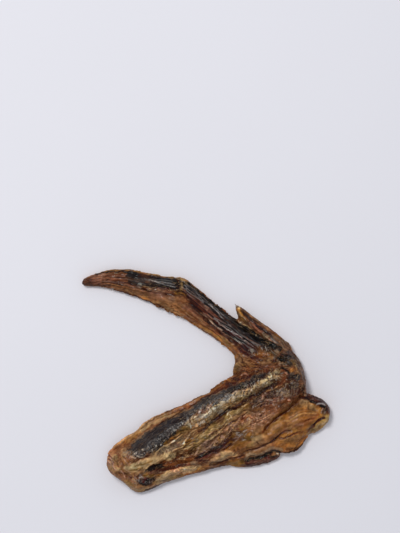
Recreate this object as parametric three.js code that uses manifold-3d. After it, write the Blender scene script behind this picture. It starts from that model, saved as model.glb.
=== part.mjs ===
// A dried duck wing, folded as it lies on a table: upper arm and forearm side by side with the skin
// web between them, the hand bent back over the bay, its finger and thumb, and the cut shoulder end.
// Millimetres, +Z up, the wing lying flat. All plan points are [x, y], seen from above.

import * as THREE from 'three';
import { mergeVertices } from 'three/addons/utils/BufferGeometryUtils.js';
import { ImprovedNoise } from 'three/addons/math/ImprovedNoise.js';
import Module from 'manifold-3d';

// Driving sizes
const FOREARM_HEIGHT = 13.6; // over the forearm bones, above the table
const UPPER_ARM_HEIGHT = 12.4; // over the humerus
const ELBOW_HEIGHT = 14.2;
const WRIST_HEIGHT = 13;
const HAND_HEIGHT = 9.5;
const KNUCKLE_HEIGHT = 9;
const FINGER_HEIGHT = 7;
const TIP_HEIGHT = 4.4;
const THUMB_HEIGHT = 11;
const THUMB_UNDER = 2.6; // the thumb's underside, which joins the hand
const MEAT_HEIGHT = 5; // the dark strip below the upper arm
const STUMP_HEIGHT = 8.4; // the cut end of the shoulder
const STUMP_UNDER = 0.9;
const FAT_HEIGHT = 4.8;
const FAT_UNDER = 0.4;
const ARCH = 1.3; // how far the middle of a bone's underside stands off the table
const PRESSED = -0.6; // how far a joint is pressed into the table before its flat is cut
const WEB_TOP = 8.2; // upper face of the skin web between forearm and upper arm
const WEB_UNDER = 3.4; // its lower face
const HAND_WEB_TOP = 4.6;
const HAND_WEB_UNDER = 1.8;
const BAY_RIM = 4; // where the upper and the lower skin meet along the bay
const LOW_RIM = 3; // and along the upper arm
const LIFTED_RIM = 6.4; // which is lifted off the table over the dark meat
const WRIST_RIM = 4.8; // and along the outer side of the hand, falling to the fingertip
const TIP_RIM = 2.6;
const HAND_RIM = 2.6; // and along its inner side
const LUMP = 0.32; // shrinkage lumps
const LUMP_SIZE = 6.5;
const WRINKLE = 0.22; // fine shrivelling
const WRINKLE_SIZE = 2.6;
const EDGE_WOBBLE = 0.5; // ragged skin edges
const OVER_MEAT = 0.53; // how far from elbow to shoulder the dark meat lies
const SAMPLES = 40; // points on a plan line when a distance to it is measured

const wasm = await Module();
wasm.setup();
const noise = new ImprovedNoise();

// Small helpers

const mix = (a, b, k) => a + (b - a) * k;
const smoothstep = THREE.MathUtils.smoothstep;
const bell = (distance, reach) => Math.exp(-((distance / reach) ** 2));

// The larger of two heights, with the step between them blended over `soft`.
function smoothMax(a, b, soft) {
	const near = Math.max(soft - Math.abs(a - b), 0) / soft;
	return Math.max(a, b) + near * near * soft * 0.25;
}

// A smooth line through plan points; a third number on each point is a height carried along it.
function planLine(points) {
	const spots = points.map(([x, y, z = 0]) => new THREE.Vector3(x, y, z));
	const curve = new THREE.CatmullRomCurve3(spots, false, 'centripetal');
	return curve.getPoints(SAMPLES);
}

// From (x, y) to the nearest point of a sampled line: the plan distance, the height carried there, how
// far along the line it is, and the side it lies on, 1 to the left of the line's direction and -1 to
// its right.
function nearest(line, x, y) {
	let distance = Infinity;
	let height = 0;
	let along = 0;
	let side = 1;
	for (let i = 1; i < line.length; i++) {
		const a = line[i - 1];
		const b = line[i];
		const dx = b.x - a.x;
		const dy = b.y - a.y;
		const share = ((x - a.x) * dx + (y - a.y) * dy) / (dx * dx + dy * dy + 1e-9);
		const k = THREE.MathUtils.clamp(share, 0, 1);
		const d = Math.hypot(x - a.x - dx * k, y - a.y - dy * k);
		if (d < distance) {
			distance = d;
			height = mix(a.z, b.z, k);
			along = (i - 1 + k) / (line.length - 1);
			side = dx * (y - a.y) - dy * (x - a.x) < 0 ? -1 : 1;
		}
	}
	return { distance, height, along, side };
}

// Relief: each entry is a ridge (positive rise) or a groove (negative) along a plan line. One with a
// `lap` is a fold of skin that overlaps its neighbour: it lies on that side only, steep at the line.
function relief(entries) {
	const lines = entries.map((entry) => ({ ...entry, line: planLine(entry.points) }));
	return (x, y) =>
		lines.reduce((sum, { line, half, rise, lap }) => {
			const { distance, along, side } = nearest(line, x, y);
			const lip = lap ? smoothstep(distance * side * lap, -0.5, 1.1) : 1;
			const fade = smoothstep(Math.min(along, 1 - along), -0.02, 0.16);
			return sum + rise * lip * fade * bell(distance, half);
		}, 0);
}

// Heights over bones: each bone line carries the height of the skin above it, falling to `web` beside it.
function crownOver(bones, web) {
	const lines = bones.map(({ points, reach }) => ({ line: planLine(points), reach }));
	return (x, y) =>
		lines.reduce((z, { line, reach }) => {
			const { distance, height } = nearest(line, x, y);
			return smoothMax(z, web + (height - web) * bell(distance, reach), 2);
		}, web);
}

// The underside: each bone rests on the table at its pressed points and arches between them, and the
// web between two bones is clear of the table at `web`.
function soleUnder(bones, web) {
	const lines = bones.map(({ under, reach }) => ({ line: planLine(under), reach }));
	return (x, y) =>
		lines.reduce((z, { line, reach }) => {
			const { distance, height } = nearest(line, x, y);
			return Math.min(z, mix(web, height, bell(distance, reach * 1.3)));
		}, web);
}

// Shrinkage lumps and fine shrivelling, the same at every build.
function shrivel(x, y, z) {
	const lump = noise.noise(x / LUMP_SIZE, y / LUMP_SIZE, z / LUMP_SIZE);
	const fine = noise.noise(x / WRINKLE_SIZE + 40, y / WRINKLE_SIZE, z / WRINKLE_SIZE + 9);
	return LUMP * 2 * lump + WRINKLE * 2 * fine;
}

// A closed cushion of flesh or skin between two edges. `stations` are pairs of plan points, left and
// right, from one end to the other. crown(x, y) and sole(x, y) are the heights of its two faces, and
// rim(along, v) the height where they meet at an edge. It reaches its full height `rounding` in from
// an edge, and over `ends` rings at its first and last end.
function cushion({ stations, crown, sole, rim, rounding, ends, rings, across, under, wobble = EDGE_WOBBLE }) {
	const edge = (side) =>
		new THREE.CatmullRomCurve3(
			stations.map((pair) => new THREE.Vector3(pair[side][0], pair[side][1], 0)),
			false,
			'centripetal'
		);
	const left = edge(0);
	const right = edge(1);
	const positions = [];
	const ringSize = across + under;
	const dome = (inset) => Math.sqrt(1 - (1 - Math.min(inset, 1)) ** 2);
	const swell = (inset) => 1 - (1 - Math.min(inset, 1)) ** 2.3;

	for (let i = 0; i <= rings; i++) {
		const along = i / rings;
		const a = left.getPoint(along);
		const b = right.getPoint(along);
		const width = a.distanceTo(b);
		const outward = b.clone().sub(a).normalize();
		const endRound = dome((i + 0.3) / ends[0]) * dome((rings - i + 0.3) / ends[1]);
		const stagger = (end) => wobble * noise.noise(end.x / 2.1, end.y / 2.1, 3.7);
		a.addScaledVector(outward, -stagger(a));
		b.addScaledVector(outward, stagger(b));

		for (let j = 0; j < ringSize; j++) {
			const onTop = j < across;
			const turn = onTop ? j / across : 1 - (j - across) / under;
			const v = mix(turn, 0.5 - 0.5 * Math.cos(Math.PI * turn), 0.7);
			const x = mix(a.x, b.x, v);
			const y = mix(a.y, b.y, v);
			const inset = (Math.min(v, 1 - v) * width) / Math.min(rounding, width / 2);
			const fullness = swell(inset) * endRound;
			const z0 = rim(along, v);
			const face = onTop ? crown(x, y) + shrivel(x, y, 0) : sole(x, y) + 0.5 * shrivel(x, y, 20);
			positions.push(x, y, z0 + (face - z0) * fullness);
		}
	}

	const index = [];
	for (let i = 0; i < rings; i++) {
		for (let j = 0; j < ringSize; j++) {
			const a = i * ringSize + j;
			const b = i * ringSize + ((j + 1) % ringSize);
			index.push(a, b, a + ringSize, b, b + ringSize, a + ringSize);
		}
	}
	for (const ring of [0, rings]) closeEnd(positions, index, ring * ringSize, ringSize, ring === 0);
	return solidFrom(positions, index);
}

// Closes one end ring with a fan to its middle.
function closeEnd(positions, index, first, count, atStart) {
	const middle = new THREE.Vector3();
	for (let j = 0; j < count; j++) {
		middle.add(new THREE.Vector3().fromArray(positions, (first + j) * 3));
	}
	middle.divideScalar(count);
	const hub = positions.length / 3;
	positions.push(middle.x, middle.y, middle.z);
	for (let j = 0; j < count; j++) {
		const a = first + j;
		const b = first + ((j + 1) % count);
		if (atStart) index.push(a, hub, b);
		else index.push(a, b, hub);
	}
}

// A manifold solid from a list of positions and triangles, turned right side out if it has to be.
function solidFrom(positions, index) {
	const geometry = new THREE.BufferGeometry();
	geometry.setAttribute('position', new THREE.Float32BufferAttribute(positions, 3));
	geometry.setIndex(index);
	return solidOf(geometry);
}

function solidOf(geometry) {
	const bare = geometry.clone();
	bare.deleteAttribute('normal');
	bare.deleteAttribute('uv');
	const merged = mergeVertices(bare, 1e-4);
	const build = (triVerts) =>
		new wasm.Manifold(
			new wasm.Mesh({ numProp: 3, vertProperties: merged.attributes.position.array, triVerts })
		);
	const faces = new Uint32Array(merged.index.array);
	const made = build(faces);
	if (made.volume() > 0) return made;
	for (let i = 0; i < faces.length; i += 3) [faces[i + 1], faces[i + 2]] = [faces[i + 2], faces[i + 1]];
	return build(faces);
}

// Bones, as plan lines: `points` carry the height of the skin above, `under` the height below

const armBones = [
	{
		// Forearm, elbow to wrist
		points: [
			[-39.5, -39.2, ELBOW_HEIGHT],
			[-30.6, -33.3, FOREARM_HEIGHT + 0.6],
			[-16.8, -22.9, FOREARM_HEIGHT],
			[-1, -11.9, FOREARM_HEIGHT - 0.8],
			[12.8, -4.8, FOREARM_HEIGHT - 1.3],
			[26.6, 2.7, WRIST_HEIGHT],
			[37.4, 8.6, WRIST_HEIGHT],
		],
		under: [
			[-39, -40, PRESSED],
			[-33, -36, PRESSED],
			[-20, -26.5, ARCH],
			[0, -13.5, ARCH],
			[18, -3, ARCH],
			[31, 4.5, PRESSED],
			[38, 8, PRESSED],
		],
		reach: 7,
	},
	{
		// Upper arm, elbow to the cut shoulder
		points: [
			[-32.6, -45.6, ELBOW_HEIGHT - 1.4],
			[-19.8, -43, UPPER_ARM_HEIGHT],
			[-6, -38.7, UPPER_ARM_HEIGHT - 1.4],
			[7.9, -33.4, UPPER_ARM_HEIGHT - 2],
			[21.7, -27.5, UPPER_ARM_HEIGHT - 1.6],
			[35.5, -21.5, UPPER_ARM_HEIGHT - 0.8],
			[46.3, -16.5, UPPER_ARM_HEIGHT - 1.4],
			[54.2, -14.8, UPPER_ARM_HEIGHT - 4],
		],
		under: [
			[-33, -47, PRESSED],
			[-27, -45.6, PRESSED],
			[-8, -40, ARCH],
			[12, -32, ARCH],
			[30, -24.6, 0.4],
			[42, -20, PRESSED],
			[50, -17.5, PRESSED],
		],
		reach: 6.4,
	},
	{
		// Wrist, where the web folds round the joint
		points: [
			[37.4, 12.6, WRIST_HEIGHT],
			[41.4, 4.7, WRIST_HEIGHT],
			[40.9, -2.2, WRIST_HEIGHT - 1.2],
			[37.4, -8.1, WRIST_HEIGHT - 3],
		],
		under: [
			[38, 12, PRESSED],
			[42, 4, PRESSED],
			[41.5, -3, 1],
			[38, -9, 2.6],
		],
		reach: 6,
	},
];

const handBones = [
	{
		// Hand and finger, along the outer edge
		points: [
			[37.6, 12.4, WRIST_HEIGHT - 1.2],
			[25.7, 17.1, HAND_HEIGHT + 1],
			[11.9, 26.1, HAND_HEIGHT],
			[0, 34.6, HAND_HEIGHT - 0.4],
			[-9.4, 42.5, KNUCKLE_HEIGHT],
			[-19.8, 45.5, FINGER_HEIGHT],
			[-34.7, 47.1, FINGER_HEIGHT - 0.6],
			[-47.6, 47.5, mix(TIP_HEIGHT, FINGER_HEIGHT, 0.5)],
			[-56.5, 46.5, TIP_HEIGHT],
		],
		under: [
			[38, 12, PRESSED],
			[30, 15, PRESSED],
			[14, 24.6, ARCH],
			[0, 34, ARCH],
			[-9.5, 41.5, PRESSED],
			[-14, 43, PRESSED],
			[-30, 46, ARCH],
			[-46, 47, 0.6],
			[-53, 46.6, PRESSED],
			[-57, 46.4, 0.2],
		],
		reach: 4.4,
	},
	{
		// The lesser finger bone, along the inner side
		points: [
			[35.6, 8.4, WRIST_HEIGHT - 0.6],
			[26.7, 9.4, HAND_HEIGHT + 1.4],
			[17.8, 13.4, HAND_HEIGHT - 0.8],
			[7.9, 19.9, HAND_HEIGHT - 2.4],
			[-6, 29.8, HAND_HEIGHT - 3],
			[-14.9, 36.6, FINGER_HEIGHT - 0.8],
			[-26.8, 40.7, FINGER_HEIGHT - 1.6],
			[-39.6, 43.7, FINGER_HEIGHT - 2],
		],
		under: [
			[24, 9, ARCH],
			[8, 19.6, ARCH],
			[-8, 31, 0.8],
			[-27, 40.6, ARCH],
			[-40, 43.6, ARCH],
		],
		reach: 3.8,
	},
	{
		// The fold of skin that spans the corner between forearm and hand
		points: [
			[35.6, 6.4, WRIST_HEIGHT - 0.6],
			[26.7, 5.1, HAND_HEIGHT + 1.6],
			[18.8, 5.3, HAND_HEIGHT - 1.6],
			[13.8, 6.4, HAND_WEB_TOP],
		],
		under: [
			[36, 6, PRESSED],
			[27, 4.6, ARCH],
			[14, 6, HAND_WEB_UNDER],
		],
		reach: 4.4,
	},
];

const thumbBones = [
	{
		points: [
			[36, 14, THUMB_HEIGHT],
			[30, 20, THUMB_HEIGHT - 0.6],
			[22, 27, THUMB_HEIGHT - 2.2],
			[15, 34, THUMB_HEIGHT - 4.2],
		],
		reach: 3.2,
	},
];

// Ridges and grooves on the upper face

const quillRow = [
	[-34.7, -34.1],
	[-26.3, -28.5],
	[-16.7, -21.2],
	[-8.5, -15.2],
	[0.4, -9.3],
	[9.1, -5.3],
	[18, -0.8],
	[26.9, 3.6],
];
const paleBand = [
	[-14.4, -25.6],
	[-7, -18.2],
	[0.4, -13.8],
	[9.1, -9.3],
	[18, -4.9],
	[27.7, 1],
	[33.6, 4.7],
];
const bandGroove = [
	[32.5, 0.1],
	[23.9, -5.6],
	[14.4, -10],
	[6.2, -15.2],
	[-2.6, -21.8],
];
const armValley = [
	[-25.7, -41.1],
	[-18.9, -38.7],
	[-8.5, -35],
	[0.4, -30.2],
	[7.7, -26.1],
	[13.8, -22.3],
];
const wristLap = [
	[51.2, -2.8],
	[45.5, -6],
	[41.8, -9.1],
	[36.9, -13.5],
	[32.1, -17.4],
	[28, -21.3],
	[27.2, -24.9],
];
const lobeGroove = [
	[40.4, -20.5],
	[35.5, -22.9],
	[30.5, -27.3],
	[25.1, -29.8],
	[13.3, -35],
	[3.9, -38.3],
];

const armRelief = relief([
	{ points: quillRow, half: 2.8, rise: 1 },
	{ points: paleBand, half: 2, rise: 0.8 },
	{ points: bandGroove, half: 1.7, rise: -1.8 },
	{ points: armValley, half: 2.2, rise: -2.6 },
	{ points: wristLap, half: 6, rise: 2, lap: -1 },
	{ points: wristLap, half: 1.8, rise: -1.6, lap: 1 },
	{ points: lobeGroove, half: 1.7, rise: -2 },
	// Folds of the skin web, between the bones
	{ points: [[-29.6, -39.5], [-19.8, -35.2], [-11.9, -29.9]], half: 1.8, rise: 1.4 },
	{ points: [[-23, -31.8], [-15.9, -27.9], [-9.5, -24], [-2.1, -21]], half: 1.1, rise: 1 },
	{ points: [[-6.9, -31.8], [1.4, -27.5], [7.1, -23.6], [11.8, -20.4], [17.2, -19.6]], half: 1.7, rise: 2 },
	{ points: [[-0, -25.3], [7.1, -20.4], [13.8, -15.7], [21.7, -10.7]], half: 1.5, rise: 1.7 },
	{ points: [[21.7, -15.1], [26.6, -11.1], [32.5, -8.2], [37.5, -4.8]], half: 2.4, rise: 1.5 },
	{ points: [[23.6, -20], [28.6, -15.7], [34.5, -11.5]], half: 1.6, rise: 1 },
	// Folds of the shoulder's skin
	{ points: [[49.8, -11.7], [42.4, -14.3], [35.5, -18.4], [31, -23]], half: 1.8, rise: 1.2 },
	{ points: [[43.4, -23.2], [36.5, -27.5], [29.6, -30.1]], half: 1.8, rise: 1.2 },
	{ points: [[33.5, -15.7], [29.2, -20], [28.6, -23.6]], half: 1.4, rise: -0.9 },
	// Hollows round the joints: the pit by the elbow, and the dimples of the wrist
	{ points: [[-32.6, -48], [-28.1, -46.6], [-23.7, -45.3]], half: 2, rise: -3 },
	{ points: [[40, 7], [36.5, 10], [32.9, 12.6]], half: 1.7, rise: -1.7 },
	{ points: [[42.4, 5.6], [41.4, 1.7], [40.4, -2.2]], half: 1.7, rise: -1.2 },
]);

const handRelief = relief([
	{ points: [[-9.3, 44.7], [-3.6, 39.7], [10.7, 28], [25.5, 17.5], [32.3, 14.2]], half: 1.6, rise: 0.9 },
	{ points: [[-7.6, 41.1], [0.6, 33], [12.1, 23.9], [23.7, 15.4]], half: 1.2, rise: -1.2 },
	{ points: [[-7.8, 38.5], [0.4, 31], [7, 25.3], [21.9, 13]], half: 1.2, rise: 0.9 },
	{ points: [[-7.9, 34.6], [1.5, 27.1], [10.5, 19.9], [16.8, 13.4]], half: 1.2, rise: -0.9 },
	{ points: [[-37.6, 49.4], [-26.4, 47.7], [-13.5, 45.5]], half: 1.5, rise: 0.9 },
	{ points: [[-45.6, 47.3], [-33.7, 44.9], [-21.8, 42.9], [-13.9, 40.9]], half: 1.2, rise: -1 },
	{ points: [[-47.6, 45.7], [-35.7, 42.9], [-23.8, 39.9]], half: 1.2, rise: 0.7 },
	{ points: [[-11.1, 47.6], [-11.9, 43.6], [-13.5, 39.6]], half: 1.5, rise: -1.1 },
	{ points: [[30.7, 8.4], [21.8, 7.8], [15.2, 8]], half: 2, rise: 0.9 },
]);

const thumbRelief = relief([
	{ points: [[16.2, 32.8], [21.8, 27.7], [29.7, 20.7]], half: 1, rise: -1 },
	{ points: [[17.8, 32.6], [24.7, 26.9], [32.6, 20.3]], half: 1, rise: 0.6 },
]);

// Elbow to cut shoulder in one skin: forearm, web and upper arm.
function arm() {
	const crown = crownOver(armBones, WEB_TOP);
	return cushion({
		stations: [
			[[-44.9, -42.6], [-43.8, -43.9]],
			[[-46.7, -38.6], [-38.7, -47.5]],
			[[-44.4, -32.4], [-31.6, -52.8]],
			[[-37, -26.6], [-24.2, -50.8]],
			[[-27.4, -19], [-15.4, -46.6]],
			[[-17.5, -14.4], [-5.5, -43.8]],
			[[-8, -10.1], [3.5, -41.3]],
			[[1.5, -5.3], [11.5, -39.8]],
			[[9.5, 0.3], [19, -37.2]],
			[[15.6, 4.6], [25, -35.4]],
			[[24, 9], [31, -33.7]],
			[[34, 15.4], [37.5, -34]],
			[[41.9, 13.2], [42.5, -32.5]],
			[[46.4, 4], [46.2, -29]],
			[[46.9, -3.6], [48.6, -25.4]],
			[[46.4, -8], [50.2, -24.2]],
			[[50.2, -10.9], [52.5, -22.6]],
			[[55, -13.6], [55.6, -20]],
			[[56.9, -16.5], [57, -17.9]],
		],
		crown: (x, y) => crown(x, y) + armRelief(x, y),
		sole: soleUnder(armBones, WEB_UNDER),
		rim: (along, v) => mix(BAY_RIM, mix(LOW_RIM, LIFTED_RIM, bell(along - OVER_MEAT, 0.12)), v),
		rounding: 9,
		ends: [7, 3],
		rings: 58,
		across: 38,
		under: 14,
	});
}

// Wrist to fingertip, with the skin web that fills the bay's corner.
function hand() {
	const crown = crownOver(handBones, HAND_WEB_TOP);
	return cushion({
		stations: [
			[[41.4, 9.6], [34, -1]],
			[[39.4, 17.8], [22, -3]],
			[[31.5, 20.2], [12.3, 2.8]],
			[[24.5, 22.8], [13.8, 9.5]],
			[[17.5, 27], [9.8, 15]],
			[[10.5, 31.6], [3.5, 19.7]],
			[[3.4, 36.7], [-4.5, 24.6]],
			[[-4.1, 43.1], [-11.4, 29]],
			[[-10.6, 47.8], [-17.4, 32.6]],
			[[-18.5, 49.3], [-24, 35.4]],
			[[-27, 50.7], [-31.5, 38.3]],
			[[-36, 52.3], [-39, 40.8]],
			[[-44.5, 52.1], [-46, 42.9]],
			[[-51.2, 50.4], [-52.3, 43.7]],
			[[-55.6, 48.8], [-56.2, 44]],
			[[-57.9, 47], [-58, 45.2]],
		],
		crown: (x, y) => crown(x, y) + handRelief(x, y),
		sole: soleUnder(handBones, HAND_WEB_UNDER),
		rim: (along, v) => mix(mix(WRIST_RIM, TIP_RIM, along), HAND_RIM, v),
		rounding: 4.6,
		ends: [2, 2.6],
		rings: 54,
		across: 17,
		under: 7,
	});
}

function thumb() {
	const crown = crownOver(thumbBones, THUMB_HEIGHT / 2);
	return cushion({
		stations: [
			[[40, 15.4], [34, 10]],
			[[35, 21.2], [29.2, 15.8]],
			[[27.3, 26.9], [23, 20.6]],
			[[21, 31.6], [16.4, 27]],
			[[16.6, 34.8], [14.9, 30.4]],
			[[14.2, 36], [13.7, 35]],
		],
		crown: (x, y) => crown(x, y) + thumbRelief(x, y),
		sole: () => THUMB_UNDER,
		rim: (along) => mix(THUMB_HEIGHT, THUMB_UNDER, mix(0.55, 0.75, along)),
		rounding: 3,
		ends: [2, 2],
		rings: 18,
		across: 10,
		under: 6,
		wobble: 0.3,
	});
}

// Dark meat that shows past the skin: a strip below the upper arm, and the rim of the cut shoulder.
function meatStrip() {
	return cushion({
		stations: [
			[[6, -33.5], [7, -39]],
			[[15, -31], [15, -40.8]],
			[[22, -28.6], [22.5, -40.6]],
			[[28, -27.4], [28.6, -39.2]],
			[[32, -28.4], [33.2, -37.3]],
			[[34.6, -31.6], [35.2, -35.4]],
		],
		crown: (x, y) => MEAT_HEIGHT + 0.5 * Math.sin(x * 0.9 + y),
		sole: () => PRESSED,
		rim: () => MEAT_HEIGHT * 0.4,
		rounding: 2.6,
		ends: [2, 2],
		rings: 16,
		across: 8,
		under: 4,
	});
}

function cutShoulder() {
	return cushion({
		stations: [
			[[43.4, -6.2], [41, -12]],
			[[47.2, -5.6], [45, -14]],
			[[51.4, -6.8], [48.5, -15]],
			[[55.7, -9.2], [51, -16]],
			[[58, -12.9], [52.5, -17.5]],
			[[58, -16.6], [53.5, -19]],
			[[56.4, -18.8], [54, -20.4]],
		],
		crown: (x, y) => STUMP_HEIGHT + 0.8 * Math.sin(x * 1.3) * Math.cos(y * 1.1),
		sole: () => STUMP_UNDER,
		rim: () => STUMP_HEIGHT / 2,
		rounding: 2.4,
		ends: [2, 2],
		rings: 18,
		across: 8,
		under: 5,
	});
}

// A flap of yellow fat under the shoulder's edge.
function fat() {
	return cushion({
		stations: [
			[[43, -20], [47.2, -25.2]],
			[[46, -18], [51, -25]],
			[[49.5, -16.5], [54.4, -22.8]],
			[[54, -16.5], [57.4, -19.6]],
			[[56.4, -15.6], [58.2, -17]],
		],
		crown: () => FAT_HEIGHT,
		sole: () => FAT_UNDER,
		rim: () => FAT_HEIGHT * 0.4,
		rounding: 2.2,
		ends: [2, 2],
		rings: 14,
		across: 6,
		under: 4,
	});
}

// Everything below the table's plane is cut off, which leaves the flats that the wing rests on.
function restOnTable(solid) {
	const depth = 20;
	const slab = new THREE.BoxGeometry(300, 300, depth).translate(0, 0, -depth / 2);
	return solid.subtract(solidOf(slab));
}

function meshOf(solid, name, material) {
	const made = solid.getMesh();
	const geometry = new THREE.BufferGeometry();
	const positions = new Float32Array(made.numVert * 3);
	for (let i = 0; i < made.numVert; i++) {
		positions.set(made.vertProperties.subarray(i * made.numProp, i * made.numProp + 3), i * 3);
	}
	geometry.setAttribute('position', new THREE.BufferAttribute(positions, 3));
	geometry.setIndex(new THREE.BufferAttribute(made.triVerts, 1));
	geometry.computeVertexNormals();
	const mesh = new THREE.Mesh(geometry, material);
	mesh.name = name;
	return mesh;
}

const skin = new THREE.MeshStandardMaterial({ color: 0x7a4a26, roughness: 0.5, metalness: 0 });
const pieces = [arm(), hand(), thumb(), meatStrip(), cutShoulder(), fat()];
const wing = restOnTable(pieces.reduce((whole, piece) => whole.add(piece)));
const mesh = meshOf(wing, 'duck_wing', skin);

// The origin is the middle of the wing's bounding box, on the table.
const box = new THREE.Box3().setFromObject(mesh);
const centre = box.getCenter(new THREE.Vector3());
mesh.position.set(-centre.x, -centre.y, -box.min.z);

const root = new THREE.Group();
root.add(mesh);

export default root;
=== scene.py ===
"""The looks of a dried duck wing: its wrinkled, stained skin, the stubs of its quills, and a pale table.

The skin is an even copy of the packed solid. Folds, stains, painted shadows and painted highlights lie on it
as named strokes on a plan map, in millimetres, seen from above with +Y away from the viewer.
"""

import math
import random
from collections import namedtuple
from functools import reduce
from itertools import product

import bmesh
import bpy
import numpy as np
from bpy.props import FloatProperty, FloatVectorProperty, PointerProperty
from mathutils import Matrix, Vector


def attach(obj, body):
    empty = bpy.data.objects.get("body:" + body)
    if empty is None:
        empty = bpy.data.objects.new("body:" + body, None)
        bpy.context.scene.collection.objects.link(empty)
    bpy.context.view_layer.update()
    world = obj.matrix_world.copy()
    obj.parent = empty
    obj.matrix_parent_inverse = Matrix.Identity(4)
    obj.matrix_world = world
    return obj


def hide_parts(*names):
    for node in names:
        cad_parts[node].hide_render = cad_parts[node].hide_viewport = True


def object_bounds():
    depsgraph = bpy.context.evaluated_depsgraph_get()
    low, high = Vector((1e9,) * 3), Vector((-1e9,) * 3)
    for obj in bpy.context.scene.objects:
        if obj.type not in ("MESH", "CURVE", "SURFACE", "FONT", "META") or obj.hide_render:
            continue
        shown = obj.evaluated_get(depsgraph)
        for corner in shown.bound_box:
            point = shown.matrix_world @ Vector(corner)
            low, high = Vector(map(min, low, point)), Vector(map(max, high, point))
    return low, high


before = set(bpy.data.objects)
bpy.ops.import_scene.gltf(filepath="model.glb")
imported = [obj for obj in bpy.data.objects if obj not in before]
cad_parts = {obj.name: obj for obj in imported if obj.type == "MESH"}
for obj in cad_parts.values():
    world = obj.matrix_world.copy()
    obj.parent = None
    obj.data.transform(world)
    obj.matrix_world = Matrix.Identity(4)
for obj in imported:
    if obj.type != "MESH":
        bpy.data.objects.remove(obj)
CAD_LOW, CAD_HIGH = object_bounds()

bl_info = {
    "name": "Dried Duck Wing",
    "version": (1, 0, 0),
    "blender": (4, 5, 0),
    "location": "View3D > Sidebar > Duck Wing",
    "description": "Builds the skin, the quill stubs and the studio of a dried duck wing",
    "category": "Object",
}

NODE = "duck_wing"
SKIN = "wing_skin"
STUBS = "feather_stubs"
MM = 0.001
PLAN_CENTRE = np.array([0.18, -0.2])  # the middle of the wing's box on the plan map, in millimetres
VIEW_MIDDLE = (-0.00277, 0.05366)  # the middle of the stretch of table in view, in metres
EYE_HEIGHT = 0.9  # the plan map is drawn as seen from this height over that middle, in metres


# Colour

SHINE = np.array([0.008, 0.013, 0.013])  # light that the skin's shine adds to its colour
ROOM_LIGHT = 1.05  # how bright the room makes a white surface
DARKEST = 0.0015  # the least light that any part of the skin gives back


def to_linear(srgb):
    """Linear light from display values between 0 and 1."""
    srgb = np.clip(np.asarray(srgb, float), 0, 1)
    return np.where(srgb < 0.04045, srgb / 12.92, ((srgb + 0.055) / 1.055) ** 2.4)


def to_display(linear):
    """Display values between 0 and 1 from linear light."""
    linear = np.clip(np.asarray(linear, float), 0, 1)
    return np.where(linear < 0.0031308, linear * 12.92, 1.055 * linear ** (1 / 2.4) - 0.055)


def bare(look):
    """The skin's own linear colour from how it looks in this room, without its shine."""
    return np.maximum(to_linear(look) - SHINE, DARKEST) / ROOM_LIGHT


def paint(name, *rgb):
    """A colour property whose default is given as it looks on a display, from 0 to 255."""
    return FloatVectorProperty(
        name=name,
        description=f"Colour of the {name.lower()} parts of the skin",
        subtype="COLOR",
        min=0,
        max=1,
        default=tuple(float(value) for value in to_linear(np.array(rgb) / 255)),
    )


class WingPaints(bpy.types.PropertyGroup):
    """The colours of the dried skin, meat and fat."""

    brown: paint("Brown", 106, 70, 47)
    umber: paint("Umber", 66, 41, 28)
    maroon: paint("Maroon", 56, 31, 29)
    soot: paint("Soot", 22, 19, 21)
    charcoal: paint("Charcoal", 48, 49, 50)
    russet: paint("Russet", 106, 60, 38)
    rust: paint("Rust", 142, 96, 60)
    amber: paint("Amber", 152, 101, 51)
    ochre: paint("Ochre", 134, 95, 43)
    olive: paint("Olive", 100, 70, 30)
    moss: paint("Moss", 134, 106, 64)
    tan: paint("Tan", 148, 108, 72)
    sand: paint("Sand", 182, 148, 106)
    cream: paint("Cream", 190, 164, 120)
    chalk: paint("Chalk", 206, 194, 176)
    ash: paint("Ash", 156, 150, 146)
    dun: paint("Dun", 124, 104, 84)
    grey: paint("Grey", 86, 66, 55)
    pewter: paint("Pewter", 100, 106, 110)
    mauve: paint("Mauve", 114, 76, 62)
    rose: paint("Rose", 166, 126, 106)
    blood: paint("Blood", 104, 46, 36)
    fat: paint("Fat", 170, 134, 78)


# Strokes on the plan map

PALE = ("chalk", "ash", "cream", "sand", "rose")  # strewn strokes of these stand up, the others sink
BROKEN = 0.25  # the largest part of its first or last stretch that a strand in a bundle may lack

Mark = namedtuple("Mark", "paint cover half rise points lap")


def mark(name, cover, half, rise, *points, lap=0):
    """A stroke of one paint through plan points, `half` wide on each side and raised by `rise`.

    A third number on a point widens or narrows the stroke there. With `lap` it is a fold of skin that
    stands on one side only: 1 is left of the stroke's direction and -1 is right of it.
    """
    return Mark(name, cover, half, rise, points, lap)


def swelling(half, rise, *points, lap):
    """A fold of skin on one side of a line, which leaves the colours as they are."""
    return mark("brown", 0, half, rise, *points, lap=lap)


def between(a, b, share):
    """The point at a share of the way from one plan point to another."""
    return (a[0] + (b[0] - a[0]) * share, a[1] + (b[1] - a[1]) * share)


def bundle(name, cover, half, rise, count, first, last, seed):
    """Strokes side by side between two lines of as many points, each a little shorter and askew."""
    draw = random.Random(seed)
    strokes = []
    for number in range(count):
        share = (number + draw.uniform(0.2, 0.8)) / count
        line = [between(a, b, share) for a, b in zip(first, last)]
        line[0] = between(line[0], line[1], draw.uniform(0, BROKEN))
        line[-1] = between(line[-1], line[-2], draw.uniform(0, BROKEN))
        strokes.append(mark(name, cover * draw.uniform(0.6, 1), half * draw.uniform(0.7, 1.3), rise, *line))
    return strokes


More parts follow.
